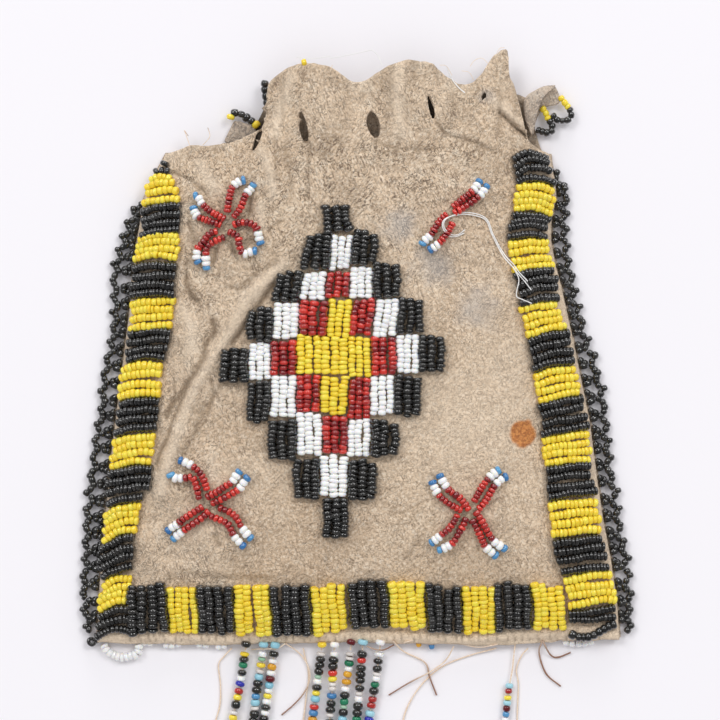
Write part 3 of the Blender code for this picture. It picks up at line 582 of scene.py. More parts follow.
# Painted shade in the dimples that the hem stitches pull.
for stitch_x in np.arange(-62, 66, 2.3) + chance.uniform(-0.6, 0.6, 56):
    pulled = near_line(x, y, ((stitch_x, -74.4), (stitch_x + 0.4, -76.0)), 0.26)
    crease_shade_mask = np.maximum(crease_shade_mask, 0.75 * pulled)
from_side = np.hypot(x - 30, y + 5) / 34
rubbed_and_lit_mask = np.maximum(rubbed_and_lit_mask, 0.75 * np.clip(1.15 - from_side, 0, 1) * np.clip(0.6 + 0.5 * ripple(x, y, 11, 24), 0, 1))
rubbed_and_lit_mask = np.maximum(rubbed_and_lit_mask, 0.8 * np.exp(-np.clip(from_top, 0, 50) / 0.8))
cream_side = np.clip((-x - 18) / 30, 0, 1) * np.clip(0.5 + 0.6 * ripple(x, y, 14, 21), 0, 1)
cream_side = cream_side * np.clip(1.2 - y / 60, 0.35, 1.2)
broad = np.clip(0.45 + 0.6 * ripple(x, y, 10, 25), 0, 1)
rubbed_and_lit_mask = np.maximum(rubbed_and_lit_mask, 0.45 * broad * np.clip((y - 56) / 6, 0, 1) * np.clip((34 - x) / 12, 0, 1))
# Painted shade in the deep crease at the right of the neck.
crease_shade_mask = np.maximum(crease_shade_mask, 0.9 * near_line(x, y, ((39.4, 65.0), (41.8, 62.8), (44.6, 60.6)), 0.4))
rubbed_and_lit_mask = np.clip(np.maximum(rubbed_and_lit_mask, 0.75 * cream_side), 0, 1.9)
soil = np.zeros_like(x)
for smudge_x, smudge_y, size in SMUDGES:
    spread = np.hypot(x - smudge_x, y - smudge_y) / size + 0.35 * ripple(x, y, 2.6, 22)
    soil = np.maximum(soil, 0.8 * np.clip(1.1 - spread, 0, 1))
stain = np.hypot(x - STAIN[0], y - STAIN[1]) / 3.6 + 0.14 * ripple(x, y, 1.5, 23)
stain = np.clip((1.06 - stain) / 0.16, 0, 1) * 0.92
marks = {
    "rubbed": rubbed_and_lit_mask.ravel(), "creased": crease_shade_mask.ravel(), "soiled": soil.ravel(), "stained": stain.ravel(),
    "nap": np.maximum(nap(x, y), 0.4 * whipped).ravel(), "whipped": whipped.ravel(),
}
points = np.stack([x, y, z], axis=-1).reshape(-1, 3)
faces = grid_faces(FRONT_COLUMNS, FRONT_ROWS, keep)
used, faces = np.unique(faces, return_inverse=True)
marks = {key: values[used] for key, values in marks.items()}
front_skin = mesh_piece("front_skin", points[used], faces.reshape(-1, 4), [buckskin], marks)
thicken(front_skin, HIDE_THICKNESS)
front_skin.modifiers["thickness"].use_rim_only = True

# The grain side of the same hide, which faces the inside of the pouch.
x, y, z, keep, _ = front_grid(LINING_COLUMNS, LINING_ROWS)
used, faces = np.unique(grid_faces(LINING_COLUMNS, LINING_ROWS, keep), return_inverse=True)
points = np.stack([x, y, z - HIDE_THICKNESS], axis=-1).reshape(-1, 3)
# The lining gets a little painted shade, as the inside of the pouch.
inner_marks = {"nap": 0.3 * np.ones(len(used)), "sooty": 0.3 * np.ones(len(used))}
front_lining = mesh_piece("front_lining", points[used], faces.reshape(-1, 4)[:, ::-1], [buckskin], inner_marks)
for skin in (front_skin, front_lining):
    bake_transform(skin)
    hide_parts("front_hide", "front_neck")

# The side lanes. Short rows of glass seed beads lie side by side across each edge, in blocks of
# four rows, black then yellow, each row strung on sinew and caught down at both ends.
BEAD_SIDES, BEAD_RING = 14, 9


def bead_form(hole=0.13, fullness=0.57):
    """Points and quads of one bead with its hole along X, 1 long and 1 across, and its belly mask."""
    phi = math.pi * np.arange(BEAD_RING - 1) / (BEAD_RING - 2)
    swell = np.append(np.abs(np.sin(phi)) ** fullness, 0)
    ahead = np.append(0.5 * np.cos(phi), 0)
    radius = hole + (0.5 - hole) * swell
    theta = 2 * math.pi * np.arange(BEAD_SIDES) / BEAD_SIDES
    points = np.stack([
        np.broadcast_to(ahead, (BEAD_SIDES, BEAD_RING)),
        np.cos(theta)[:, None] * radius,
        np.sin(theta)[:, None] * radius,
    ], axis=-1).reshape(-1, 3)
    at = np.arange(BEAD_SIDES * BEAD_RING).reshape(BEAD_SIDES, BEAD_RING)
    next_side, next_ring = np.roll(at, -1, axis=0), np.roll(at, -1, axis=1)
    faces = np.stack([at, next_ring, np.roll(next_side, -1, axis=1), next_side], axis=-1).reshape(-1, 4)
    belly = np.broadcast_to(swell, (BEAD_SIDES, BEAD_RING)).ravel()
    return points, faces, belly


BEAD_POINTS, BEAD_FACES, BEAD_BELLY = bead_form()


def bead_piece(name, beads, finishes, body, nodes=()):
    """One mesh of many beads; a bead is (place, direction, diameter, length, finish number)."""
    places = np.array([bead[0] for bead in beads], float)
    ahead = np.array([bead[1] for bead in beads], float)
    across = np.array([bead[2] for bead in beads], float)
    lengths = np.array([bead[3] for bead in beads], float)
    ahead += chance.normal(0, 0.07, ahead.shape) * np.linalg.norm(ahead, axis=1, keepdims=True)
    ahead /= np.linalg.norm(ahead, axis=1, keepdims=True)
    aside = np.cross(ahead, (0.11, 0.07, 0.99))
    aside /= np.linalg.norm(aside, axis=1, keepdims=True)
    upward = np.cross(ahead, aside)
    roll = chance.uniform(0, 2 * math.pi, len(beads))[:, None]
    first = aside * np.cos(roll) + upward * np.sin(roll)
    second = upward * np.cos(roll) - aside * np.sin(roll)
    squash = chance.normal(1, 0.03, (len(beads), 2))
    points = (
        places[:, None, :]
        + BEAD_POINTS[None, :, 0, None] * (ahead * lengths[:, None])[:, None, :]
        + BEAD_POINTS[None, :, 1, None] * (first * (across * squash[:, 0])[:, None])[:, None, :]
        + BEAD_POINTS[None, :, 2, None] * (second * (across * squash[:, 1])[:, None])[:, None, :]
    ).reshape(-1, 3)
    faces = (BEAD_FACES[None] + (np.arange(len(beads)) * len(BEAD_POINTS))[:, None, None]).reshape(-1, 4)
    carried = {
        "belly": np.tile(BEAD_BELLY, len(beads)),
        "shade": np.repeat(chance.uniform(0, 1, len(beads)), len(BEAD_POINTS)),
    }
    face_finish = np.repeat([bead[4] for bead in beads], len(BEAD_FACES))
    made = mesh_piece(name, points, faces, finishes, carried, face_finish)
    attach(made, body)
    if nodes:
        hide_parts(*nodes)
    return made


def bead_finish(name, deep, light, roughness, dust=(0.45, 0.43, 0.40, 1), dusty=0.0, end_shade=None, shine=0.3):
    """Old glass: every bead a little its own colour, painted shade at its ends where the beads meet, and dirt on its
    skin.
    """
    made = Finish(name, Coat_Weight=shine, Coat_Roughness=0.04, Coat_IOR=1.8)
    tone = made.mix(made.carried("shade"), deep, light)
    # Painted shade on the ends of each bead, where it meets the next one.
    if end_shade:
        tone = made.mix(made.carried("belly").ramp(0.35, 0.95), end_shade, tone)
    haze = made.cloud(0.9, 3.0, 0.6).ramp(0.45, 0.75) * dusty
    made.paint(Base_Color=made.mix(haze, tone, dust), Roughness=roughness + made.cloud(0.7, 2.0, 0.5) * 0.16)
    return made


black_glass = bead_finish(
    "black_glass", (0.005, 0.005, 0.005, 1), (0.022, 0.020, 0.018, 1), 0.12, dusty=0.08, shine=1.0,
)
yellow_glass = bead_finish(
    "yellow_glass", (0.93, 0.66, 0.040, 1), (0.995, 0.79, 0.090, 1), 0.16,
    dust=(0.72, 0.52, 0.12, 1), dusty=0.22, end_shade=(0.88, 0.58, 0.018, 1),
)
# Opaque glass lets a little light through to the notches between its beads.
white_glass = bead_finish(
    "white_glass", (0.965, 0.94, 0.90, 1), (0.995, 0.975, 0.94, 1), 0.16,
    dust=(0.84, 0.80, 0.74, 1), dusty=0.10, end_shade=(0.975, 0.95, 0.91, 1),
)
red_glass = bead_finish(
    "red_glass", (0.20, 0.006, 0.010, 1), (0.74, 0.042, 0.028, 1), 0.05,
    dust=(0.34, 0.12, 0.11, 1), dusty=0.08, end_shade=(0.060, 0.004, 0.008, 1), shine=1.0,
)
blue_glass = bead_finish(
    "blue_glass", (0.030, 0.160, 0.420, 1), (0.120, 0.390, 0.680, 1), 0.10,
    dust=(0.30, 0.40, 0.45, 1), dusty=0.20, end_shade=(0.030, 0.110, 0.300, 1), shine=0.7,
)
for glass in (white_glass, yellow_glass):
    glass.surface.inputs["Subsurface Weight"].default_value = 0.6
    glass.surface.inputs["Subsurface Radius"].default_value = (1.0, 0.8, 0.6)
    glass.surface.inputs["Subsurface Scale"].default_value = 0.8 * MM
GLASS = {"K": black_glass, "Y": yellow_glass, "W": white_glass, "R": red_glass, "B": blue_glass}
COLOUR_NAMES = {"K": "black", "Y": "yellow", "W": "white", "R": "red", "B": "blue"}


def strung(route, count, diameter):
    """count beads spread along a route of (x, y, z) points, each filling its own share of it."""
    line = np.asarray(route, float)
    gone = np.concatenate([[0], np.cumsum(np.linalg.norm(np.diff(line, axis=0), axis=1))])
    shares = chance.normal(1, 0.13, count).clip(0.65, 1.40)
    ends = np.concatenate([[0], np.cumsum(shares / shares.sum())]) * gone[-1]
    beads = []
    for low, high in zip(ends, ends[1:]):
        middle, before, after = (
            np.array([np.interp(at, gone, line[:, k]) for k in range(3)])
            for at in ((low + high) / 2, (3 * low + high) / 4, (low + 3 * high) / 4)
        )
        middle = middle + chance.normal(0, 0.035, 3)
        beads.append((
            middle, after - before + 1e-9, diameter * np.clip(chance.normal(1, 0.055), 0.86, 1.12),
            (high - low) * 1.13, 0,
        ))
    return beads


def sewn_row(start, end, count, diameter, bow=0.0):
    """A row of beads on the front hide from start to end, arched up off it and bent aside by bow."""
    t = np.linspace(0, 1, 15)
    x = start[0] + (end[0] - start[0]) * t
    y = start[1] + (end[1] - start[1]) * t
    reach = math.hypot(end[0] - start[0], end[1] - start[1])
    side_x, side_y = -(end[1] - start[1]) / reach, (end[0] - start[0]) / reach
    shift = bow * 4 * t * (1 - t)
    x, y = x + side_x * shift, y + side_y * shift
    waver = 0.07 * diameter * np.sin(2 * math.pi * (chance.uniform(0.9, 2.0) * t + chance.uniform()))
    x, y = x + side_x * waver, y + side_y * waver
    z = hide_top(x, y) + 0.48 * diameter + 0.32 * np.sin(math.pi * t) - 0.1
    return strung(np.stack([x, y, z], axis=-1), count, diameter)


# Per block from the top down: its colour, how far its rows arch, and the two ends of each row.
LEFT_BLOCKS = (
    ("Y", 0.6, ((-56.7, 48.5, -51.0, 49.1), (-58.1, 46.4, -50.0, 47.5),
               (-57.8, 44.8, -49.0, 45.4), (-58.7, 42.1, -48.6, 43.2))),
    ("K", 0.7, ((-59.0, 40.0, -48.3, 41.3), (-58.9, 37.5, -48.1, 39.3),
               (-58.5, 35.6, -48.3, 36.9), (-59.3, 33.3, -48.5, 35.0))),
    ("Y", 1.0, ((-59.8, 32.1, -48.9, 33.1), (-60.3, 30.5, -48.6, 31.5),
               (-60.5, 29.0, -48.6, 29.4), (-61.3, 27.1, -49.1, 27.3))),
    ("K", 0.5, ((-61.3, 24.8, -49.1, 25.1), (-61.3, 22.3, -49.5, 22.5),
               (-62.1, 20.0, -49.8, 20.0), (-62.1, 17.4, -49.8, 17.6))),
    ("Y", 0.6, ((-62.0, 14.7, -49.7, 15.7), (-61.4, 13.0, -50.4, 13.5),
               (-62.0, 10.5, -50.4, 11.6), (-62.4, 8.2, -50.6, 9.3))),
    ("K", 0.5, ((-62.6, 6.5, -50.8, 7.6), (-62.9, 4.3, -51.0, 5.7),
               (-63.2, 1.9, -51.6, 3.2), (-62.9, 0.0, -52.4, 0.8))),
    ("Y", 0.9, ((-64.1, -3.0, -53.3, -1.8), (-64.9, -5.1, -53.5, -3.9),
               (-65.2, -7.8, -53.6, -6.8), (-65.2, -10.3, -53.7, -9.0))),
    ("K", 0.6, ((-64.9, -12.2, -54.0, -11.3), (-65.5, -14.6, -54.0, -13.5),
               (-65.7, -17.0, -54.4, -15.7), (-66.3, -19.7, -54.5, -18.1))),
    ("Y", 0.8, ((-66.7, -22.7, -55.1, -20.8), (-66.3, -24.6, -55.4, -22.7),
               (-67.4, -27.0, -55.5, -24.8), (-67.4, -29.0, -56.2, -27.3))),
    ("K", 0.6, ((-67.8, -31.1, -55.8, -29.4), (-68.4, -33.6, -56.0, -31.9),
               (-68.4, -36.0, -56.4, -34.0), (-68.3, -39.4, -58.3, -36.7))),
    ("Y", 1.1, ((-69.1, -42.4, -59.0, -39.6), (-68.9, -44.3, -59.7, -41.4),
               (-69.3, -46.7, -59.8, -43.5), (-69.5, -49.5, -60.1, -45.6))),
    ("K", 0.7, ((-70.3, -51.6, -60.9, -47.5), (-70.6, -54.5, -61.0, -50.2),
               (-70.5, -57.0, -61.0, -52.7), (-69.9, -59.0, -61.3, -55.8))),
    ("Y", 1.2, ((-69.4, -61.8, -61.6, -59.1), (-70.2, -64.3, -61.7, -61.0),
               (-70.7, -65.9, -62.9, -63.3), (-70.5, -67.9, -62.9, -65.2))),
    ("K", 0.9, ((-70.6, -69.9, -62.5, -67.5), (-71.3, -72.4, -62.4, -70.2), (-71.6, -74.9, -62.4, -73.2))),
)
# Length of one bead along its string, by colour. Black beads are cut thin.
BEAD_LENGTHS = {"K": 0.96, "Y": 1.24}


def side_lane(blocks):
    """Rows of a side lane from its top down, sorted by colour."""
    sorted_beads = {"K": [], "Y": []}
    for colour, arch, rows in blocks:
        middles = [(start_y + end_y) / 2 for _, start_y, _, end_y in rows]
        across = np.clip(1.05 * (middles[0] - middles[-1]) / (len(rows) - 1), 2.2, 2.5)
        for start_x, start_y, end_x, end_y in rows:
            count = round((end_x - start_x) / BEAD_LENGTHS[colour] + chance.normal(0, 0.3))
            start, end = (start_x, start_y + chance.normal(0, 0.08)), (end_x, end_y + chance.normal(0, 0.08))
            sorted_beads[colour] += sewn_row(start, end, count, across, arch + chance.normal(0, 0.10))
    return sorted_beads


def lane_pieces(name, sorted_beads, nodes):
    """One piece of beads for each colour of a lane."""
    for colour, beads in sorted_beads.items():
        if beads:
            piece_name = f"{name}_{COLOUR_NAMES[colour]}"
            bead_piece(piece_name, beads, [GLASS[colour]], "root", nodes)


left_lane = side_lane(LEFT_BLOCKS)
# Four odd black beads start the lane.
left_lane["K"] += [
    (np.array([bx, by, hide_top(bx, by) + 0.9]), np.array(turned), across, 1.5, 0)
    for bx, by, turned, across in (
        (-52.8, 53.1, (0.3, 1.0, 0), 2.7), (-55.1, 50.9, (1.0, 0.5, 0), 2.3), (-53.6, 51.0, (1.0, 0, 0), 2.4),
        (-52.1, 50.9, (1.0, -0.2, 0), 2.4),
    )
]
lane_pieces("left_lane", left_lane, ["left_lane"])

RIGHT_BLOCKS = (
    ("K", 1.7, ((41.0, 54.0, 50.5, 54.0), (41.4, 51.8, 51.0, 53.2),
               (41.9, 50.0, 51.6, 50.8), (42.1, 47.7, 52.7, 47.5))),
    ("Y", 1.1, ((42.1, 46.0, 52.2, 45.6), (41.6, 44.1, 52.7, 43.2),
               (41.4, 42.3, 52.1, 41.3), (41.4, 40.6, 51.8, 39.4))),
    ("K", 0.6, ((40.9, 39.0, 51.4, 38.1), (40.5, 37.0, 50.6, 37.3),
               (39.7, 35.5, 50.5, 35.8), (39.4, 33.2, 50.5, 33.3))),
    ("Y", 0.5, ((39.8, 30.8, 50.8, 31.6), (40.0, 28.6, 51.0, 29.7),
               (40.8, 26.2, 51.6, 27.7), (40.9, 24.0, 52.4, 25.5))),
    ("K", 0.6, ((41.3, 22.1, 52.1, 24.3), (42.1, 20.0, 53.3, 21.9),
               (42.7, 17.6, 53.2, 19.7), (42.8, 14.9, 53.7, 17.0))),
    ("Y", 0.4, ((42.7, 13.5, 53.1, 14.9), (43.9, 10.9, 54.0, 12.7), (44.4, 8.9, 54.5, 11.1), (44.7, 6.5, 55.6, 9.2))),
    ("K", 0.4, ((45.1, 4.6, 56.4, 7.3), (45.5, 2.4, 56.7, 4.9), (46.2, 0.0, 57.4, 2.4), (46.0, -2.4, 57.8, 0.0))),
    ("Y", 0.5, ((46.8, -4.6, 58.1, -2.4), (47.2, -6.8, 58.9, -4.6),
               (47.5, -8.9, 59.3, -6.8), (48.1, -11.2, 59.1, -8.6))),
    ("K", 0.4, ((47.8, -13.0, 60.2, -10.4), (48.6, -15.1, 60.2, -12.7),
               (48.9, -17.6, 61.3, -15.4), (48.6, -20.2, 61.8, -17.8))),
    ("Y", 0.3, ((49.0, -22.0, 61.8, -20.2), (49.0, -24.2, 61.8, -22.4),
               (49.1, -25.9, 62.6, -24.6), (49.7, -27.8, 62.1, -26.7))),
    ("K", 0.3, ((50.0, -29.7, 62.2, -28.6), (50.1, -32.1, 62.1, -31.1),
               (50.1, -34.6, 63.2, -33.5), (50.5, -37.0, 64.0, -35.6))),
    ("Y", 0.3, ((50.6, -39.7, 64.0, -38.6), (51.0, -42.1, 64.1, -41.0),
               (51.6, -44.7, 65.1, -43.2), (51.4, -47.1, 64.9, -45.6))),
    ("K", 0.2, ((51.8, -49.4, 65.1, -48.1), (52.1, -51.8, 66.0, -50.5),
               (52.9, -54.5, 66.7, -52.9), (54.0, -57.2, 67.1, -55.9))),
    ("Y", 0.5, ((54.8, -59.9, 68.0, -57.9), (55.4, -61.8, 68.4, -60.8),
               (56.2, -63.9, 69.1, -62.9), (56.2, -66.6, 69.4, -64.9))),
    ("K", -0.4, ((56.2, -68.3, 68.9, -67.0), (56.4, -70.2, 69.1, -69.1))),
)
right_lane = side_lane(RIGHT_BLOCKS)
lane_pieces("right_lane", right_lane, ["right_lane"])

# The bottom lane. Upright rows stand side by side along the hem between the two side lanes,
# four to a block, above a bare band where the two hides are whipped together.
# Per block from the left: its colour, and the upper and the lower end of each row.
BOTTOM_BLOCKS = (
    ("K", ((-61.8, -60.8, -61.3, -74.5), (-58.9, -60.8, -58.6, -73.7),
           (-56.0, -60.5, -55.9, -73.3), (-53.7, -59.8, -52.9, -73.3))),
    ("Y", ((-51.4, -61.3, -50.2, -73.7), (-49.1, -61.3, -48.6, -73.4),
           (-47.5, -61.3, -46.8, -73.8), (-45.2, -61.3, -44.6, -73.8))),
    ("K", ((-43.2, -60.8, -42.4, -73.7), (-40.8, -60.8, -40.2, -73.7),
           (-38.3, -60.8, -37.3, -74.2), (-35.4, -60.8, -34.8, -73.3))),
    ("Y", ((-32.9, -60.5, -32.4, -74.4), (-30.8, -60.5, -30.0, -73.4),
           (-27.9, -60.5, -26.7, -74.5), (-25.8, -60.5, -24.6, -74.2))),
    ("K", ((-23.2, -60.8, -22.1, -74.5), (-20.2, -60.3, -19.7, -74.2),
           (-17.6, -60.8, -17.0, -74.2), (-14.9, -60.3, -14.0, -74.4))),
    ("Y", ((-12.2, -61.2, -11.3, -74.7), (-10.0, -61.2, -9.2, -73.4),
           (-7.8, -60.2, -6.5, -73.6), (-5.3, -60.5, -4.3, -72.6))),
    ("K", ((-2.3, -59.9, -1.1, -72.6), (0.4, -59.1, 1.4, -71.8), (3.1, -59.0, 4.1, -72.1), (5.9, -59.0, 6.8, -72.2))),
    ("Y", ((8.5, -59.7, 9.3, -72.0), (10.8, -59.7, 11.9, -72.0),
           (13.5, -59.7, 14.9, -72.8), (16.2, -59.7, 16.7, -72.1))),
    ("K", ((18.4, -59.9, 19.4, -73.4), (21.1, -60.5, 21.6, -73.2),
           (23.8, -61.6, 23.8, -73.7), (25.9, -60.8, 26.7, -73.7))),
    ("Y", ((28.6, -60.9, 29.2, -74.0), (30.8, -61.0, 31.2, -73.2),
           (33.2, -60.9, 33.5, -73.8), (35.4, -61.2, 35.5, -73.8))),
    ("K", ((37.0, -60.2, 37.8, -73.4), (39.7, -59.5, 40.2, -72.6),
           (42.4, -60.2, 42.7, -72.6), (44.8, -60.5, 45.4, -72.6))),
    ("Y", ((47.1, -59.9, 48.1, -72.8), (49.1, -60.2, 50.0, -72.1),
           (51.3, -61.3, 52.4, -72.8), (53.7, -60.8, 54.8, -72.9))),
)
bottom_lane = {"K": [], "Y": []}
for colour, rows in BOTTOM_BLOCKS:
    pitch = (rows[-1][0] - rows[0][0] + rows[-1][2] - rows[0][2]) / 6
    for number, (high_x, high_y, low_x, low_y) in enumerate(rows):
        across = pitch * (1.08 if colour == "K" or number % 2 else 1.14)
        count = round((high_y - low_y) / (1.24 if colour == "K" else 1.32))
        bottom_lane[colour] += sewn_row((low_x, low_y), (high_x, high_y), count, across, bow=chance.normal(0, 0.15))
lane_pieces("bottom_lane", bottom_lane, ["bottom_lane"])

# The stepped diamond. Nine lanes of upright strings, three to a block, step in and out by one
# block a side, black outside, then white, red and yellow at the heart.
# Per lane: its colours, the block bounds along its top and along its bottom, and the top and the
# bottom of each block.
DIAMOND = (
    ("K", (-10.5, -3.1), (-9.5, -1.6),
     (41.7,), (34.4,)),
    ("KWK", (-14.4, -7.7, -1.8, 4.9), (-16.3, -8.2, -2.7, 4.6),
     (34.4, 33.6, 34.8), (24.2, 24.3, 25.8)),
    ("KWRWK", (-21.9, -15.1, -8.8, -2.8, 3.5, 10.5), (-24.0, -16.6, -9.5, -3.0, 3.5, 10.8),
     (23.9, 23.5, 23.8, 25.1, 26.2), (15.3, 16.2, 16.6, 16.5, 16.5)),
    ("KWRYRWK", (-30.0, -23.0, -16.1, -8.4, -2.0, 4.3, 10.7, 16.2),
     (-30.5, -23.5, -16.2, -9.0, -3.1, 3.2, 9.5, 17.0),
     (14.0, 15.5, 15.8, 16.1, 16.2, 16.2, 16.7), (4.9, 5.9, 6.5, 6.1, 6.6, 6.3, 6.9)),
    ("KWRYYYRWK", (-37.0, -29.7, -23.8, -17.0, -10.5, -3.2, 2.7, 9.5, 15.7, 22.7),
     (-37.8, -29.8, -24.0, -17.0, -10.3, -3.0, 3.0, 9.7, 15.7, 22.4),
     (3.6, 4.6, 5.3, 6.6, 6.3, 6.2, 6.1, 6.8, 6.9), (-6.3, -5.1, -4.3, -3.6, -3.9, -4.6, -3.9, -3.5, -3.5)),
    ("KWRYRWK", (-30.0, -23.8, -17.0, -10.4, -3.0, 2.7, 9.2, 16.5),
     (-30.5, -24.3, -17.3, -10.8, -3.6, 2.7, 8.9, 15.9),
     (-5.4, -4.1, -3.8, -4.1, -4.7, -4.3, -3.8), (-16.6, -15.4, -14.2, -14.6, -15.8, -14.9, -15.1)),
    ("KWRWK", (-24.6, -17.0, -10.4, -3.0, 2.8, 10.5), (-24.6, -17.1, -9.9, -3.6, 2.7, 10.0),
     (-15.8, -14.2, -14.9, -15.8, -15.8), (-27.0, -25.4, -25.1, -25.8, -25.9)),
    ("KWK", (-18.1, -10.8, -3.2, 4.6), (-17.6, -10.8, -3.5, 4.3),
     (-26.2, -25.4, -26.5), (-37.5, -36.6, -37.5)),
    ("K", (-10.3, -2.7), (-10.1, -3.0),
     (-37.1,), (-47.8,)),
)
DIAMOND_BEAD_LENGTHS = {"K": 1.16, "W": 1.24, "R": 1.26, "Y": 1.20}
diamond = {"K": [], "W": [], "R": [], "Y": []}
for colours, top_bounds, low_bounds, highs, lows in DIAMOND:
    for block, (colour, high, low) in enumerate(zip(colours, highs, lows)):
        outwards = 0 if colour != "K" or len(colours) == 1 else 1 if block else -1
        for row in range(3):
            share = (row + 0.5) / 3
            top = top_bounds[block] + (top_bounds[block + 1] - top_bounds[block]) * share
            bottom = low_bounds[block] + (low_bounds[block + 1] - low_bounds[block]) * share
            pitch = (top_bounds[block + 1] - top_bounds[block] + low_bounds[block + 1] - low_bounds[block]) / 6
            step = max(0, (row - 1) * outwards + 0.3)
            start = (bottom + chance.normal(0, 0.1), low + 0.1 + 0.25 * step * abs(outwards) + chance.normal(0, 0.2))
            end = (top + chance.normal(0, 0.1), high - 0.1 - 0.6 * step * abs(outwards) + chance.normal(0, 0.2))
            count = round((end[1] - start[1]) / DIAMOND_BEAD_LENGTHS[colour])
            bow = chance.normal(0, 0.12) - 0.25 * step * outwards
            fat = 1.14 if colour == "K" else 1.04
            diamond[colour] += sewn_row(start, end, count, pitch * fat, bow=bow)
lane_pieces("diamond", diamond, [f"diamond_lane_{number}" for number in range(1, 10)])

# The crossed figures. Pairs of strings run out from a bare middle, seven clear red beads, then
# two white and one blue at the tip, caught to the hide only here and there so that they bow.
FIGURE_STRINGS = {
    "upper_left": (
        ((-36.5, 37.9), (-40.1, 39.9), (-42.5, 42.0), (-43.6, 44.1), (-44.7, 43.8)),
        ((-37.5, 36.3), (-41.0, 37.5), (-43.5, 38.4), (-44.6, 40.2), (-44.8, 41.4)),
        ((-35.6, 39.9), (-35.1, 43.1), (-34.2, 46.4), (-32.3, 47.9), (-30.7, 48.3)),
        ((-33.8, 38.4), (-31.9, 40.9), (-30.6, 44.3), (-29.0, 46.2), (-28.4, 47.5)),
        ((-33.8, 36.3), (-31.2, 36.9), (-28.5, 36.2), (-27.4, 34.5), (-27.2, 33.1), (-26.5, 30.8)),
        ((-35.1, 34.4), (-32.7, 33.0), (-32.4, 30.8), (-31.3, 28.5), (-28.8, 29.2), (-27.5, 29.2)),
        ((-38.4, 34.6), (-40.4, 33.9), (-42.5, 31.2), (-43.6, 29.9), (-43.9, 27.2), (-43.2, 25.9)),
        ((-36.5, 32.9), (-39.1, 31.8), (-41.0, 30.3), (-41.4, 28.3), (-41.3, 25.6), (-41.2, 24.1)),
    ),
    "upper_right": (
        ((25.0, 41.1), (27.7, 43.3), (30.5, 45.6), (31.6, 47.3), (32.4, 48.4)),
        ((25.3, 39.5), (29.1, 41.7), (32.4, 44.4), (33.6, 46.1), (34.5, 47.1)),
        ((23.1, 39.0), (20.9, 36.6), (19.0, 33.5), (17.2, 31.9), (16.5, 30.7)),
        ((24.8, 36.6), (23.3, 33.9), (21.4, 31.5), (19.7, 30.1), (18.4, 29.3)),
    ),
    "lower_left": (
        ((-41.1, -34.7), (-42.1, -31.7), (-43.3, -29.9), (-45.0, -28.4), (-47.4, -27.3), (-48.8, -26.8)),
        ((-43.3, -37.2), (-43.9, -34.1), (-45.0, -31.5), (-46.8, -31.7), (-50.3, -31.6), (-51.0, -30.2)),
        ((-41.0, -36.8), (-38.6, -35.5), (-35.9, -33.7), (-34.3, -32.7), (-32.9, -30.6), (-32.0, -29.5)),
        ((-39.7, -38.6), (-36.8, -37.2), (-34.1, -35.7), (-32.1, -34.3), (-30.8, -32.3), (-29.8, -31.1)),
        ((-42.4, -39.5), (-45.0, -41.1), (-47.7, -42.9), (-48.8, -43.9), (-50.8, -45.2), (-52.1, -46.4)),
        ((-40.6, -40.6), (-42.4, -42.4), (-45.0, -44.2), (-47.3, -45.8), (-49.4, -47.4), (-50.7, -48.6)),
        ((-40.1, -42.0), (-37.7, -42.9), (-35.4, -44.2), (-33.9, -47.1), (-32.2, -49.1), (-30.9, -50.4)),
        ((-37.7, -39.7), (-34.8, -40.9), (-33.0, -42.6), (-31.9, -44.7), (-30.0, -47.1), (-28.9, -48.2)),
    ),
    "lower_right": (
        ((29.1, -40.1), (27.0, -37.2), (24.2, -35.2), (23.2, -34.0), (21.8, -31.9), (21.2, -30.5)),
        ((27.1, -40.3), (24.4, -38.9), (22.1, -37.2), (20.8, -35.8), (19.6, -33.4), (19.3, -32.2)),
        ((30.6, -37.9), (31.7, -35.8), (32.9, -33.8), (34.6, -31.6), (36.5, -30.0), (37.7, -29.3)),
        ((31.9, -39.9), (33.7, -37.9), (34.9, -35.8), (36.5, -33.3), (38.5, -31.7), (39.7, -31.3)),
        ((26.1, -41.6), (24.8, -43.9), (23.5, -45.6), (22.4, -46.4), (20.0, -48.4), (18.8, -49.3)),
        ((28.4, -42.5), (27.5, -44.8), (26.4, -46.6), (25.0, -49.0), (22.2, -50.7), (20.7, -51.1)),
        ((30.1, -43.0), (31.5, -45.5), (32.6, -47.9), (33.5, -49.9), (35.6, -51.9), (36.9, -52.9)),
        ((31.1, -40.7), (32.6, -43.0), (34.0, -45.6), (36.0, -48.7), (38.3, -50.3), (39.3, -51.1)),
    ),
}
FIGURE_ARMS = {"upper_left": 4, "upper_right": 2, "lower_left": 4, "lower_right": 4}
FIGURE_BEADS = {"R": 2.1, "W": 2.5, "B": 2.35}

for figure, strings in FIGURE_STRINGS.items():
    arm_beads = {"R": [], "W": [], "B": []}
    for string in strings:
        line = smooth_line([1.10 * np.array(string[0]) - 0.10 * np.array(string[1]), *string[1:]])
        gone = np.linalg.norm(np.diff(line, axis=0), axis=1).sum()
        lift = 1.0 + 0.35 * np.sin(np.linspace(0, math.pi, len(line)))
        route = np.column_stack([line, hide_top(line[:, 0], line[:, 1]) + lift])
        sizes = np.array([1.06] * 7 + [1.28] * 2 + [1.15]) * chance.normal(1, 0.05, 10)
        ends = np.concatenate([[0], np.cumsum(sizes / sizes.sum())]) * (len(line) - 1)
        for number, (low, high) in enumerate(zip(ends, ends[1:])):
            colour = "R" if number < 7 else "W" if number < 9 else "B"
            middle, before, after = (
                np.array([np.interp(at, range(len(line)), route[:, k]) for k in range(3)])
                for at in ((low + high) / 2, low, high)
            )
            across = FIGURE_BEADS[colour] * chance.normal(1, 0.05)
            length = gone * (high - low) / (len(line) - 1)
            arm_beads[colour].append((middle, after - before, across, 1.08 * length, 0))
    nodes = [f"figure_{figure}_arm_{number}" for number in range(1, FIGURE_ARMS[figure] + 1)]
    lane_pieces(f"figure_{figure}", arm_beads, nodes)

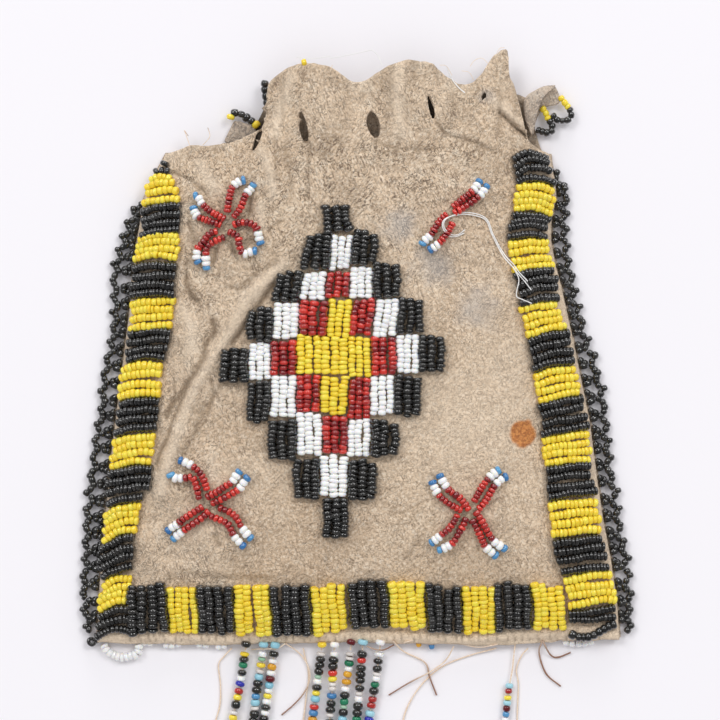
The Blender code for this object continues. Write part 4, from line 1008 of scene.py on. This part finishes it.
# The net edging. A chain of round black beads hangs off each side seam on short legs, three
# beads to a loop, and the middle one of each three stands out.
LEFT_NET = (
    (-59.7, 42.4), (-62.6, 36.8), (-63.9, 32.6), (-66.0, 26.0), (-66.5, 20.0), (-66.5, 13.5), (-66.9, 5.4),
    (-69.0, -2.7), (-69.6, -10.8), (-70.9, -18.9), (-72.2, -27.0), (-73.0, -35.1), (-74.0, -43.0),
    (-74.3, -54.0), (-74.6, -59.4), (-74.5, -64.8), (-74.0, -70.2), (-73.0, -74.2),
)
RIGHT_NET = (
    (51.8, 52.4), (53.0, 49.8), (54.8, 47.4), (55.9, 45.2), (55.4, 42.0), (55.4, 38.0), (55.4, 32.4),
    (56.4, 26.5), (57.7, 18.9), (59.6, 10.8),
    (61.2, 5.4), (63.1, 0.0), (65.0, -8.1), (66.4, -16.2), (67.1, -24.3), (67.6, -29.7), (69.2, -37.8),
    (70.2, -45.9), (71.5, -51.3), (72.4, -59.4), (72.9, -64.8), (72.9, -70.2), (72.2, -74.4),
)


def net_bead(y):
    """The beads are finer near the mouth than at the hem."""
    return 2.15 - 0.30 * np.clip((y + 76) / 110, 0, 1)


# One loop of the chain: how far along it each bead lies, and how far out from the chain's middle.
NET_LOOP = ((0.0, -0.80), (0.25, -0.15), (0.50, 0.75), (0.75, 0.05))


def net(name, node, outer, edge, outward):
    """The chain of loops along one side, with its legs to the seam; outward is -1 or 1."""
    line = smooth_line(outer, 400)
    gone = np.linalg.norm(np.diff(line, axis=0), axis=1).sum()
    knots, at = [], 0.0
    while at < gone - 2.0:
        knots.append(at)
        at += 3.9 + 0.75 * min(1.0, at / 45) + chance.normal(0, 0.2)
    shares = (np.array([*knots, at]) / at * 399).round().astype(int)
    chain, beads = [], []
    for here, there in zip(line[shares[:-1]], line[shares[1:]]):
        run = there - here
        out = np.array([run[1], -run[0]]) / np.hypot(*run)
        out = out * (1 if out[0] * outward > 0 else -1)
        for share, beyond in NET_LOOP:
            place = here + run * (share + chance.normal(0, 0.02)) + out * (beyond + chance.normal(0, 0.22))
            chain.append((*place, 1.1 + abs(chance.normal(0, 0.15))))
        joint = here + out * NET_LOOP[0][1]
        for aslant in (1.5, -0.9):
            seam_y = here[1] + aslant + chance.normal(0, 0.3)
            seam = np.array([along(edge, seam_y) + outward * 0.3, seam_y])
            reach = np.hypot(*(joint - seam)) - 1.0
            if (joint[0] - seam[0]) * outward > 0.8:
                leg = [(*seam, 1.7), (*(seam + joint) / 2, 1.4), (*(joint + (seam - joint) * 0.9 / reach), 1.1)]
                beads += strung(leg, max(1, round(reach / 1.6)), net_bead(here[1]))
    for place, ahead in zip(chain, np.gradient(np.array(chain), axis=0)):
        across, length = net_bead(place[1]) * chance.normal(1, 0.05), 1.65 * chance.normal(1, 0.08)
        beads.append((place, ahead + chance.normal(0, 0.35, 3) * (1, 1, 0.3), across, length, 0))
    bead_piece(name, beads, [black_glass], "root", [node])


net("left_net", "left_edging", LEFT_NET, LEFT_EDGE, -1)
net("right_net", "right_edging", RIGHT_NET, RIGHT_EDGE, 1)

# The ear loops and the beads beside the neck, where the net once ran on round the mouth.
# Each is a few beads on one turn of sinew, yellow next to the hide and black beyond.
def bead_loop(node, route, colours, diameter, height):
    line = smooth_line(route, 60)
    beads = strung(np.column_stack([line, np.full(60, height)]), len(colours), diameter)
    order = list(dict.fromkeys(colours))
    beads = [(*bead[:4], order.index(colour)) for bead, colour in zip(beads, colours)]
    bead_piece(f"{node}_string", beads, [GLASS[colour] for colour in order], "root", [node])


bead_loop(
    "left_ear_loop", ((-35.2, 65.2), (-34.4, 66.8), (-32.2, 66.6), (-30.4, 65.4), (-28.6, 64.2), (-27.6, 63.0)),
    "YKKKKY", 2.15, 2.4,
)
bead_loop("neck_side_beads", ((-25.6, 75.6), (-25.9, 73.8), (-25.5, 71.8), (-25.1, 69.0)), "KKKK", 2.2, 3.2)
bead_loop(
    "right_ear_outer_loop",
    ((54.2, 71.4), (55.2, 70.0), (56.2, 68.7), (57.2, 67.2), (57.0, 65.6), (55.4, 64.8), (53.6, 65.0), (52.0, 66.6)),
    "YYYKKKKKK", 1.9, 2.2,
)
bead_loop(
    "right_ear_inner_loop",
    ((49.2, 68.6), (50.3, 67.0), (51.1, 65.3), (52.0, 63.8), (52.2, 62.4), (51.0, 61.6), (49.4, 61.9), (47.8, 62.6)),
    "YYYKKKKKK", 1.9, 1.9,
)
bead_piece(
    "neck_edge_bead", [((-15.0, 79.8, float(hide_top(-15.0, 79.4)) - 0.2), (1, 0.2, 0.1), 1.9, 1.4, 0)],
    [yellow_glass], "neck", (),
)

# Below the hem: a loop of white beads at the left corner, the crests of the back hide's own
# white edging, a round black bead at the corner, and one black row come loose at the right.
HEM_BEAD = 1.9
bead_loop(
    "corner_loop",
    ((-69.6, -77.2), (-68.6, -78.8), (-66.8, -80.0), (-64.6, -80.6), (-62.4, -80.2), (-60.6, -79.6), (-60.0, -78.4),
     (-60.2, -77.0)),
    "W" * 11, 2.5, 1.3,
)
# Only the crests of this edging clear the front hide.
for name, node, crests in (
    ("left_crests", "left_hem_edging",
     ((-58.6, -77.0), (-57.0, -77.1), (-52.6, -77.7), (-51.0, -77.8), (-49.3, -77.5), (-43.6, -77.5),
      (-41.8, -77.7), (-38.4, -78.1), (-36.9, -77.9))),
    ("right_crests", "right_hem_edging",
     ((55.9, -77.0), (57.6, -77.3), (59.3, -77.4), (61.0, -77.2), (62.6, -76.9))),
):
    crest_beads = [((cx, cy + 0.45, 1.1), (1, 0.1, 0), HEM_BEAD, 1.7, 0) for cx, cy in crests]
    bead_piece(name, crest_beads, [white_glass], "root", [node])
bead_piece(
    "corner_ring_bead",
    [((-72.8, -76.4, 1.6), (0.3, 0.2, 1.0), 2.7, 1.5, 0), ((-71.4, -75.9, 1.9), (1, 0.4, 0), 1.9, 1.4, 0)],
    [black_glass], "root", (),
)
amber_glass = bead_finish("amber_glass", (0.68, 0.30, 0.015, 1), (0.80, 0.42, 0.030, 1), 0.15, dusty=0.1)
bead_piece(
    "hem_odd_beads",
    [((15.9, -76.9, 1.3), (1, 0, 0), 2.0, 1.5, 0), ((19.4, -77.5, 1.2), (1, 0.1, 0), 2.0, 1.6, 1)],
    [amber_glass, blue_glass], "root", (),
)
row_x = np.array([56.6, 58.9, 61.6, 64.0, 66.6, 69.2])
row_y = np.array([-73.8, -74.8, -74.9, -73.9, -72.4, -71.2])
loose = smooth_line(np.column_stack([row_x, row_y, hide_top(row_x, row_y) + 1.1]), 40)
bead_piece("loose_beads", strung(loose, 9, 2.6), [black_glass], "root", ["loose_row"])

# The fringe. Strings of odd old beads hang from the hem on sinew, in every colour that came to
# hand, a little slack on the thread, and each swings on the stitch that holds it.
green_glass = bead_finish(
    "green_glass", (0.012, 0.16, 0.075, 1), (0.03, 0.26, 0.13, 1), 0.12, end_shade=(0.005, 0.06, 0.03, 1),
)
pale_green_glass = bead_finish("pale_green_glass", (0.30, 0.52, 0.36, 1), (0.42, 0.62, 0.46, 1), 0.2)
sky_glass = bead_finish("sky_glass", (0.25, 0.56, 0.70, 1), (0.40, 0.70, 0.80, 1), 0.2)
violet_glass = bead_finish("violet_glass", (0.025, 0.030, 0.36, 1), (0.05, 0.05, 0.48, 1), 0.12)
clear_glass = bead_finish(
    "clear_glass", (0.72, 0.67, 0.63, 1), (0.82, 0.78, 0.75, 1), 0.10, end_shade=(0.50, 0.44, 0.40, 1),
)
wine_glass = bead_finish("wine_glass", (0.10, 0.008, 0.012, 1), (0.18, 0.012, 0.018, 1), 0.12)
FRINGE_GLASS = {
    **GLASS, "G": green_glass, "g": pale_green_glass, "S": sky_glass, "V": violet_glass, "C": clear_glass,
    "A": amber_glass, "D": wine_glass,
}
# Pivot of each strand on the hem, its lean to the left, and its beads from the hem down.
STRANDS = (
    (-31.317, 0.17, "KYKGKWVRYKCYGKKWSKRYK"), (-26.455, 0.15, "SWgYCSKKBSCKKRWKYGKKB"),
    (-23.309, 0.16, "SKWAWDSWYWKWKgWKYKRWK"), (-10.582, 0.13, "YCKKKgWKYSRBADKWKYGKS"),
    (-7.007, 0.06, "WWKKRYCCBKKCKWYKGRKKW"), (-2.717, 0.12, "DCCGWAAWKGgKSKKRYWKCK"),
    (0.572, 0.08, "SKRKKKKCWKKGCKRKWYKKB"), (5.148, 0.15, "WWKKCWGKRRSVCKKWYKDKS"),
    (41.756, 0.13, "SRYSDBWRYSD"),
)
STRAND_START = -79.76
STRAND_LENGTH, SHORT_STRAND_LENGTH = 38.0, 20.0
STRAND_BEAD, SHORT_STRAND_BEAD = 2.5, 2.05
STRAND_THREAD = 0.45
# How wide and how long the beads of each colour are against the rest.
STRAND_SIZES = {"K": (1.11, 1.04), "g": (0.86, 0.65), "C": (0.92, 0.75), "Y": (0.98, 0.90), "W": (1.0, 0.96)}
sinew = Finish("sinew", Roughness=0.55, Specular_IOR_Level=0.35)
strand_along = sinew.carried("along")
fibre = sinew.cloud(0.5, 4.0, 0.7)
dry = sinew.mix(fibre.ramp(0.35, 0.7), (0.82, 0.63, 0.47, 1), (0.97, 0.84, 0.69, 1))
sinew.paint(Base_Color=sinew.mix(strand_along.ramp(0.40, 0.85) * 0.92, dry, (0.25, 0.105, 0.060, 1)))
sinew.bump(fibre, 0.1, 0.5)


def spun(name, line, thickness, finish, sides=7, brown=1.0, brown_from=0.0):
    """A round thread along a line of points, thicker and thinner as it was rolled by hand."""
    line = np.asarray(line, float)
    ahead = np.gradient(line, axis=0)
    ahead /= np.linalg.norm(ahead, axis=1, keepdims=True)
    aside = np.cross(ahead, (0.08, 0.05, 0.995))
    aside /= np.linalg.norm(aside, axis=1, keepdims=True)
    upward = np.cross(ahead, aside)
    theta = 2 * math.pi * np.arange(sides) / sides
    radius = thickness / 2 * (1 + 0.10 * ripple(np.arange(len(line)) * 1.0, 0 * line[:, 0], 2.2, len(name)))
    points = (
        line[:, None] + radius[:, None, None] * (
            np.cos(theta)[None, :, None] * aside[:, None] + np.sin(theta)[None, :, None] * upward[:, None]
        )
    ).reshape(-1, 3)
    at = np.arange(len(line) * sides).reshape(len(line), sides)
    around = np.roll(at, -1, axis=1)
    faces = np.stack([at[:-1], around[:-1], around[1:], at[1:]], axis=-1).reshape(-1, 4)
    share = np.repeat(np.linspace(brown_from, brown, len(line)), sides)
    return mesh_piece(name, points, faces, [finish], {"along": share})


for number, (strand_x, lean, colours) in enumerate(STRANDS, 1):
    short = number == len(STRANDS)
    across = SHORT_STRAND_BEAD if short else STRAND_BEAD
    length = SHORT_STRAND_LENGTH if short else STRAND_LENGTH
    resting = across / 2 + 0.15
    depth = np.linspace(-4.0, length, 100)
    swayed = strand_x - lean * np.minimum(depth, 20) - 0.08 * np.maximum(depth - 20, 0)
    wander = 0.22 * ripple(depth * 1.0, 0 * depth + 9 * number, 7, 31) * np.clip(depth / 4, 0, 1)
    line = np.column_stack([swayed + wander, STRAND_START - depth, np.full(100, resting)])
    free = depth >= 0
    sewn = depth < (0.1 if short else -0.9)
    stitch = spun(f"strand_{number}_stitch", line[sewn], STRAND_THREAD, sinew, brown=0.0)
    thread = spun(f"strand_{number}_thread", line[free], STRAND_THREAD, sinew, brown=0.0)
    held, beads = [], []
    gone = 7.9 if short else -3.4 if number == 1 else -3.1
    order = list(dict.fromkeys(colours))
    for colour in colours + colours[4:]:
        wide, long = STRAND_SIZES.get(colour, (1.04, 1))
        wide = min(across * wide * chance.normal(1, 0.04), across * 1.12)
        bead_length = (1.45 if short else 1.64) * long * chance.normal(1, 0.07)
        if gone + bead_length > length:
            break
        # The bead at the pivot sits on it, so that it turns in place.
        if gone < -0.8 and gone + bead_length > -1.2:
            gone = -bead_length / 2
        at = gone + bead_length / 2
        centre = [np.interp(at, depth, line[:, k]) for k in range(3)]
        behind = [np.interp(at + 1, depth, line[:, k]) for k in range(3)]
        bead = (centre, np.array(behind) - centre, wide, bead_length, order.index(colour))
        (beads if at > -0.5 else held).append(bead)
        gone += bead_length + (0.02 if chance.uniform() < 0.8 else 0.45)
    strand_glass = [FRINGE_GLASS[colour] for colour in order]
    strand = bead_piece(
        f"strand_{number}_beads", beads, strand_glass, f"strand_{number}", [f"fringe_strand_{number}"],
    )
    if held:
        # The first bead is sewn down on the edge of the hem itself.
        (held_x, held_y, held_z), *rest_of_bead = held[0]
        held[0] = ((held_x, held_y + (1.1 if number > 5 else 0.4), held_z + 1.7), *rest_of_bead)
        bead_piece(f"strand_{number}_held_beads", held, strand_glass, "root", ())
    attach(stitch, "root")
    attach(thread, f"strand_{number}")
    if not short:
        length * MM

# The free thread ends. Sinew tails trail from the hem stitches over the table, some of them dark
# at the tip, and a length of white cotton lies doubled over the upper right figure.
SINEW_ROUTES = {
    "sinew_end_1": ((-34.8, -78.2, 1.0), (-37.0, -80.6, 0.4), (-38.4, -82.8, 0.4), (-37.9, -88.0, 0.4),
                    (-38.0, -93.4, 0.4), (-39.2, -98.0, 0.4), (-40.6, -103.0, 0.4), (-41.0, -109.0, 0.4)),
    "sinew_end_2": ((-15.4, -78.2, 1.0), (-14.9, -80.6, 0.5), (-14.1, -84.0, 0.4), (-14.0, -87.0, 0.4),
                    (-14.6, -91.5, 0.4), (-15.3, -97.2, 0.4), (-16.4, -103.5, 0.4), (-17.2, -110.0, 0.4)),
    "sinew_end_3": ((37.0, -78.2, 1.0), (29.2, -80.4, 0.4), (22.4, -83.2, 0.4), (17.4, -87.4, 0.4),
                    (13.8, -92.4, 0.4), (11.8, -97.4, 0.4), (11.4, -103.0, 0.4)),
    "sinew_end_4": ((45.6, -78.2, 1.0), (43.8, -80.4, 0.5), (42.5, -84.0, 0.4), (43.0, -88.0, 0.4),
                    (42.8, -93.6, 0.4), (42.7, -98.6, 0.4), (43.4, -104.0, 0.4), (45.0, -110.0, 0.4)),
}
COTTON_ROUTE = (
    (28.0, 34.1, 9.7), (26.0, 33.2, 9.9), (24.0, 33.2, 11.2), (22.3, 35.0, 12.6), (22.1, 36.8, 12.9),
    (23.2, 38.0, 12.7), (25.9, 38.8, 10.8), (28.5, 39.1, 9.8), (32.0, 38.5, 9.2), (34.0, 37.3, 8.9),
    (35.3, 34.1, 8.7), (37.1, 30.4, 8.8), (38.9, 27.3, 9.6), (40.8, 25.2, 9.9), (42.4, 23.2, 9.7),
    (44.4, 20.9, 9.2), (46.0, 18.8, 8.9),
)
SINEW_END_THICKNESS, COTTON_THICKNESS, PLY_THICKNESS = 0.42, 0.31, 0.29
cotton = Finish("cotton", Base_Color=(0.86, 0.86, 0.85, 1), Roughness=0.8, Sheen_Weight=0.2)
ply = cotton.node(
    "ShaderNodeTexWave", {"bands_direction": "DIAGONAL"}, {"Vector": cotton.place(), "Scale": 900.0}, "Fac",
)
cotton.paint(Base_Color=cotton.mix(ply * 0.5, (0.95, 0.94, 0.92, 1), (0.76, 0.75, 0.73, 1)))
cotton.bump(ply, 0.06, 0.6)


def thread_end(node, name, route, thickness, finish, points=80):
    """A thread that lies loose on the bag or the table, bare at its far end."""
    line = smooth_line(route, points)
    made = spun(name, line, thickness, finish, brown=0.25)
    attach(made, "root")
    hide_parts(node)


for node, route in SINEW_ROUTES.items():
    thread_end(node, f"{node}_thread", route, SINEW_END_THICKNESS, sinew)
thread_end("cotton_thread", "cotton_strand", COTTON_ROUTE, COTTON_THICKNESS, cotton, 140)

# Short tails of sinew at the hem stitches, the second ply and the frayed hook of the cotton, and
# loose fibres at the torn edge of the neck. Per tail: its name, its route, its thickness, and how
# brown its far end is.
TAILS = (
    ("tail_1", ((-20.2, -76.7, 3.2), (-22.2, -78.0, 2.9), (-24.6, -78.2, 2.6), (-27.2, -78.3, 2.0),
                (-29.4, -78.6, 0.5)), 0.4, 0.3),
    ("tail_2", ((-20.2, -76.7, 3.2), (-16.7, -79.4, 0.6), (-14.3, -82.6, 0.8), (-13.6, -86.4, 1.0),
                (-15.1, -90.2, 0.8), (-17.8, -93.4, 0.5), (-21.3, -96.4, 0.4)), 0.4, 1.0),
    ("tail_3", ((1.9, -77.5, 2.6), (4.1, -78.3, 3.3), (6.5, -78.4, 3.2), (9.2, -77.2, 2.0)), 0.4, 0.9),
    ("tail_4", ((8.9, -75.9, 4.0), (11.9, -79.1, 0.9), (17.6, -82.1, 0.6), (18.9, -86.1, 0.6),
                (20.8, -91.0, 0.5)), 0.45, 1.0),
    ("tail_5", ((11.9, -76.4, 3.6), (17.0, -75.3, 3.5), (23.8, -75.9, 3.4), (31.6, -77.8, 2.0),
                (37.3, -77.0, 2.9)), 0.35, 0.2),
    ("tail_6", ((25.4, -77.5, 3.0), (23.2, -81.5, 1.2), (19.2, -84.5, 1.4), (13.5, -87.5, 0.9),
                (7.8, -91.0, 0.4)), 0.4, 1.0),
    ("tail_7", ((49.4, -75.9, 3.4), (48.6, -79.4, 0.8), (50.5, -85.1, 0.4), (54.5, -88.6, 0.4)), 0.45, 1.0),
    ("tail_8", ((49.4, -75.9, 3.4), (51.6, -79.9, 0.8), (53.7, -80.7, 0.5), (57.2, -79.4, 0.5)), 0.45, 1.0),
)
for name, route, thickness, brown in TAILS:
    brown_from = 0.6 if name in ("tail_3", "tail_7", "tail_8") else 0.0
    tail = spun(name, smooth_line(route, 40), thickness, sinew, brown=brown, brown_from=brown_from)
    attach(tail, "root")
second_ply = [
    (px + 0.35, py + 0.25 + 0.25 * math.sin(1.1 * k), pz + 0.1) for k, (px, py, pz) in enumerate(COTTON_ROUTE)
]
for name, route in (
    ("cotton_ply", [(28.2, 35.0, 9.8), *second_ply[1:-2], (45.0, 21.2, 9.5)]),
    ("cotton_hook", [(41.0, 25.0, 10.2), (42.6, 21.8, 9.9), (42.1, 18.6, 9.7), (42.1, 17.0, 9.6), (43.7, 16.2, 9.6),
                     (46.1, 15.2, 9.2)]),
):
    made = spun(name, smooth_line(route, 120), PLY_THICKNESS, cotton)
    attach(made, "root")
# Per fibre: its route from above, its thickness, its finish and the body that it goes with.
HAIRS = (
    (((-17.0, 81.3), (-13.5, 80.7), (-8.1, 81.5)), 0.16, cotton, "neck"),
    (((-8.1, 80.9), (1.4, 82.9), (3.2, 83.2), (4.9, 81.5), (5.9, 79.1)), 0.16, cotton, "neck"),
    (((23.5, 78.3), (24.6, 75.8), (26.6, 73.2), (28.2, 71.9)), 0.34, cotton, "neck"),
    (((-45.9, 57.6), (-47.0, 60.8), (-47.5, 62.1), (-46.4, 60.5)), 0.22, sinew, "root"),
    (((-42.4, 57.9), (-40.5, 60.2), (-41.0, 62.6)), 0.22, sinew, "root"),
    (((36.6, 82.0), (37.5, 83.7), (38.8, 84.0)), 0.14, sinew, "neck"),
    (((38.2, 79.0), (39.6, 80.2), (40.1, 81.6)), 0.14, sinew, "neck"),
    (((34.6, 79.6), (32.8, 81.2), (30.8, 80.6), (29.6, 79.0)), 0.14, sinew, "neck"),
    (((30.6, 75.4), (29.4, 77.4), (27.4, 77.8)), 0.14, sinew, "neck"),
    (((-12.6, 75.6), (-11.6, 77.8), (-9.8, 78.4), (-8.4, 77.4)), 0.14, sinew, "neck"),
    (((-15.4, 76.8), (-15.9, 78.8), (-14.4, 79.9)), 0.14, sinew, "neck"),
    (((-10.2, 75.8), (-8.6, 77.0), (-7.4, 79.2)), 0.14, sinew, "neck"),
    (((24.8, 76.6), (23.2, 79.0), (21.4, 79.2)), 0.14, sinew, "neck"),
)
for number, (route, thickness, finish, body) in enumerate(HAIRS, 1):
    flat = smooth_line(route, 40)
    lift = hide_top(flat[:, 0], np.minimum(flat[:, 1], 58 if body == "root" else 84)) - 0.3
    line = np.column_stack([flat, lift + thickness])
    brown = 0.25 if thickness < 0.15 else 0.7
    made = spun(f"fibre_{number}", line, thickness, finish, sides=5, brown=brown)
    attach(made, body)
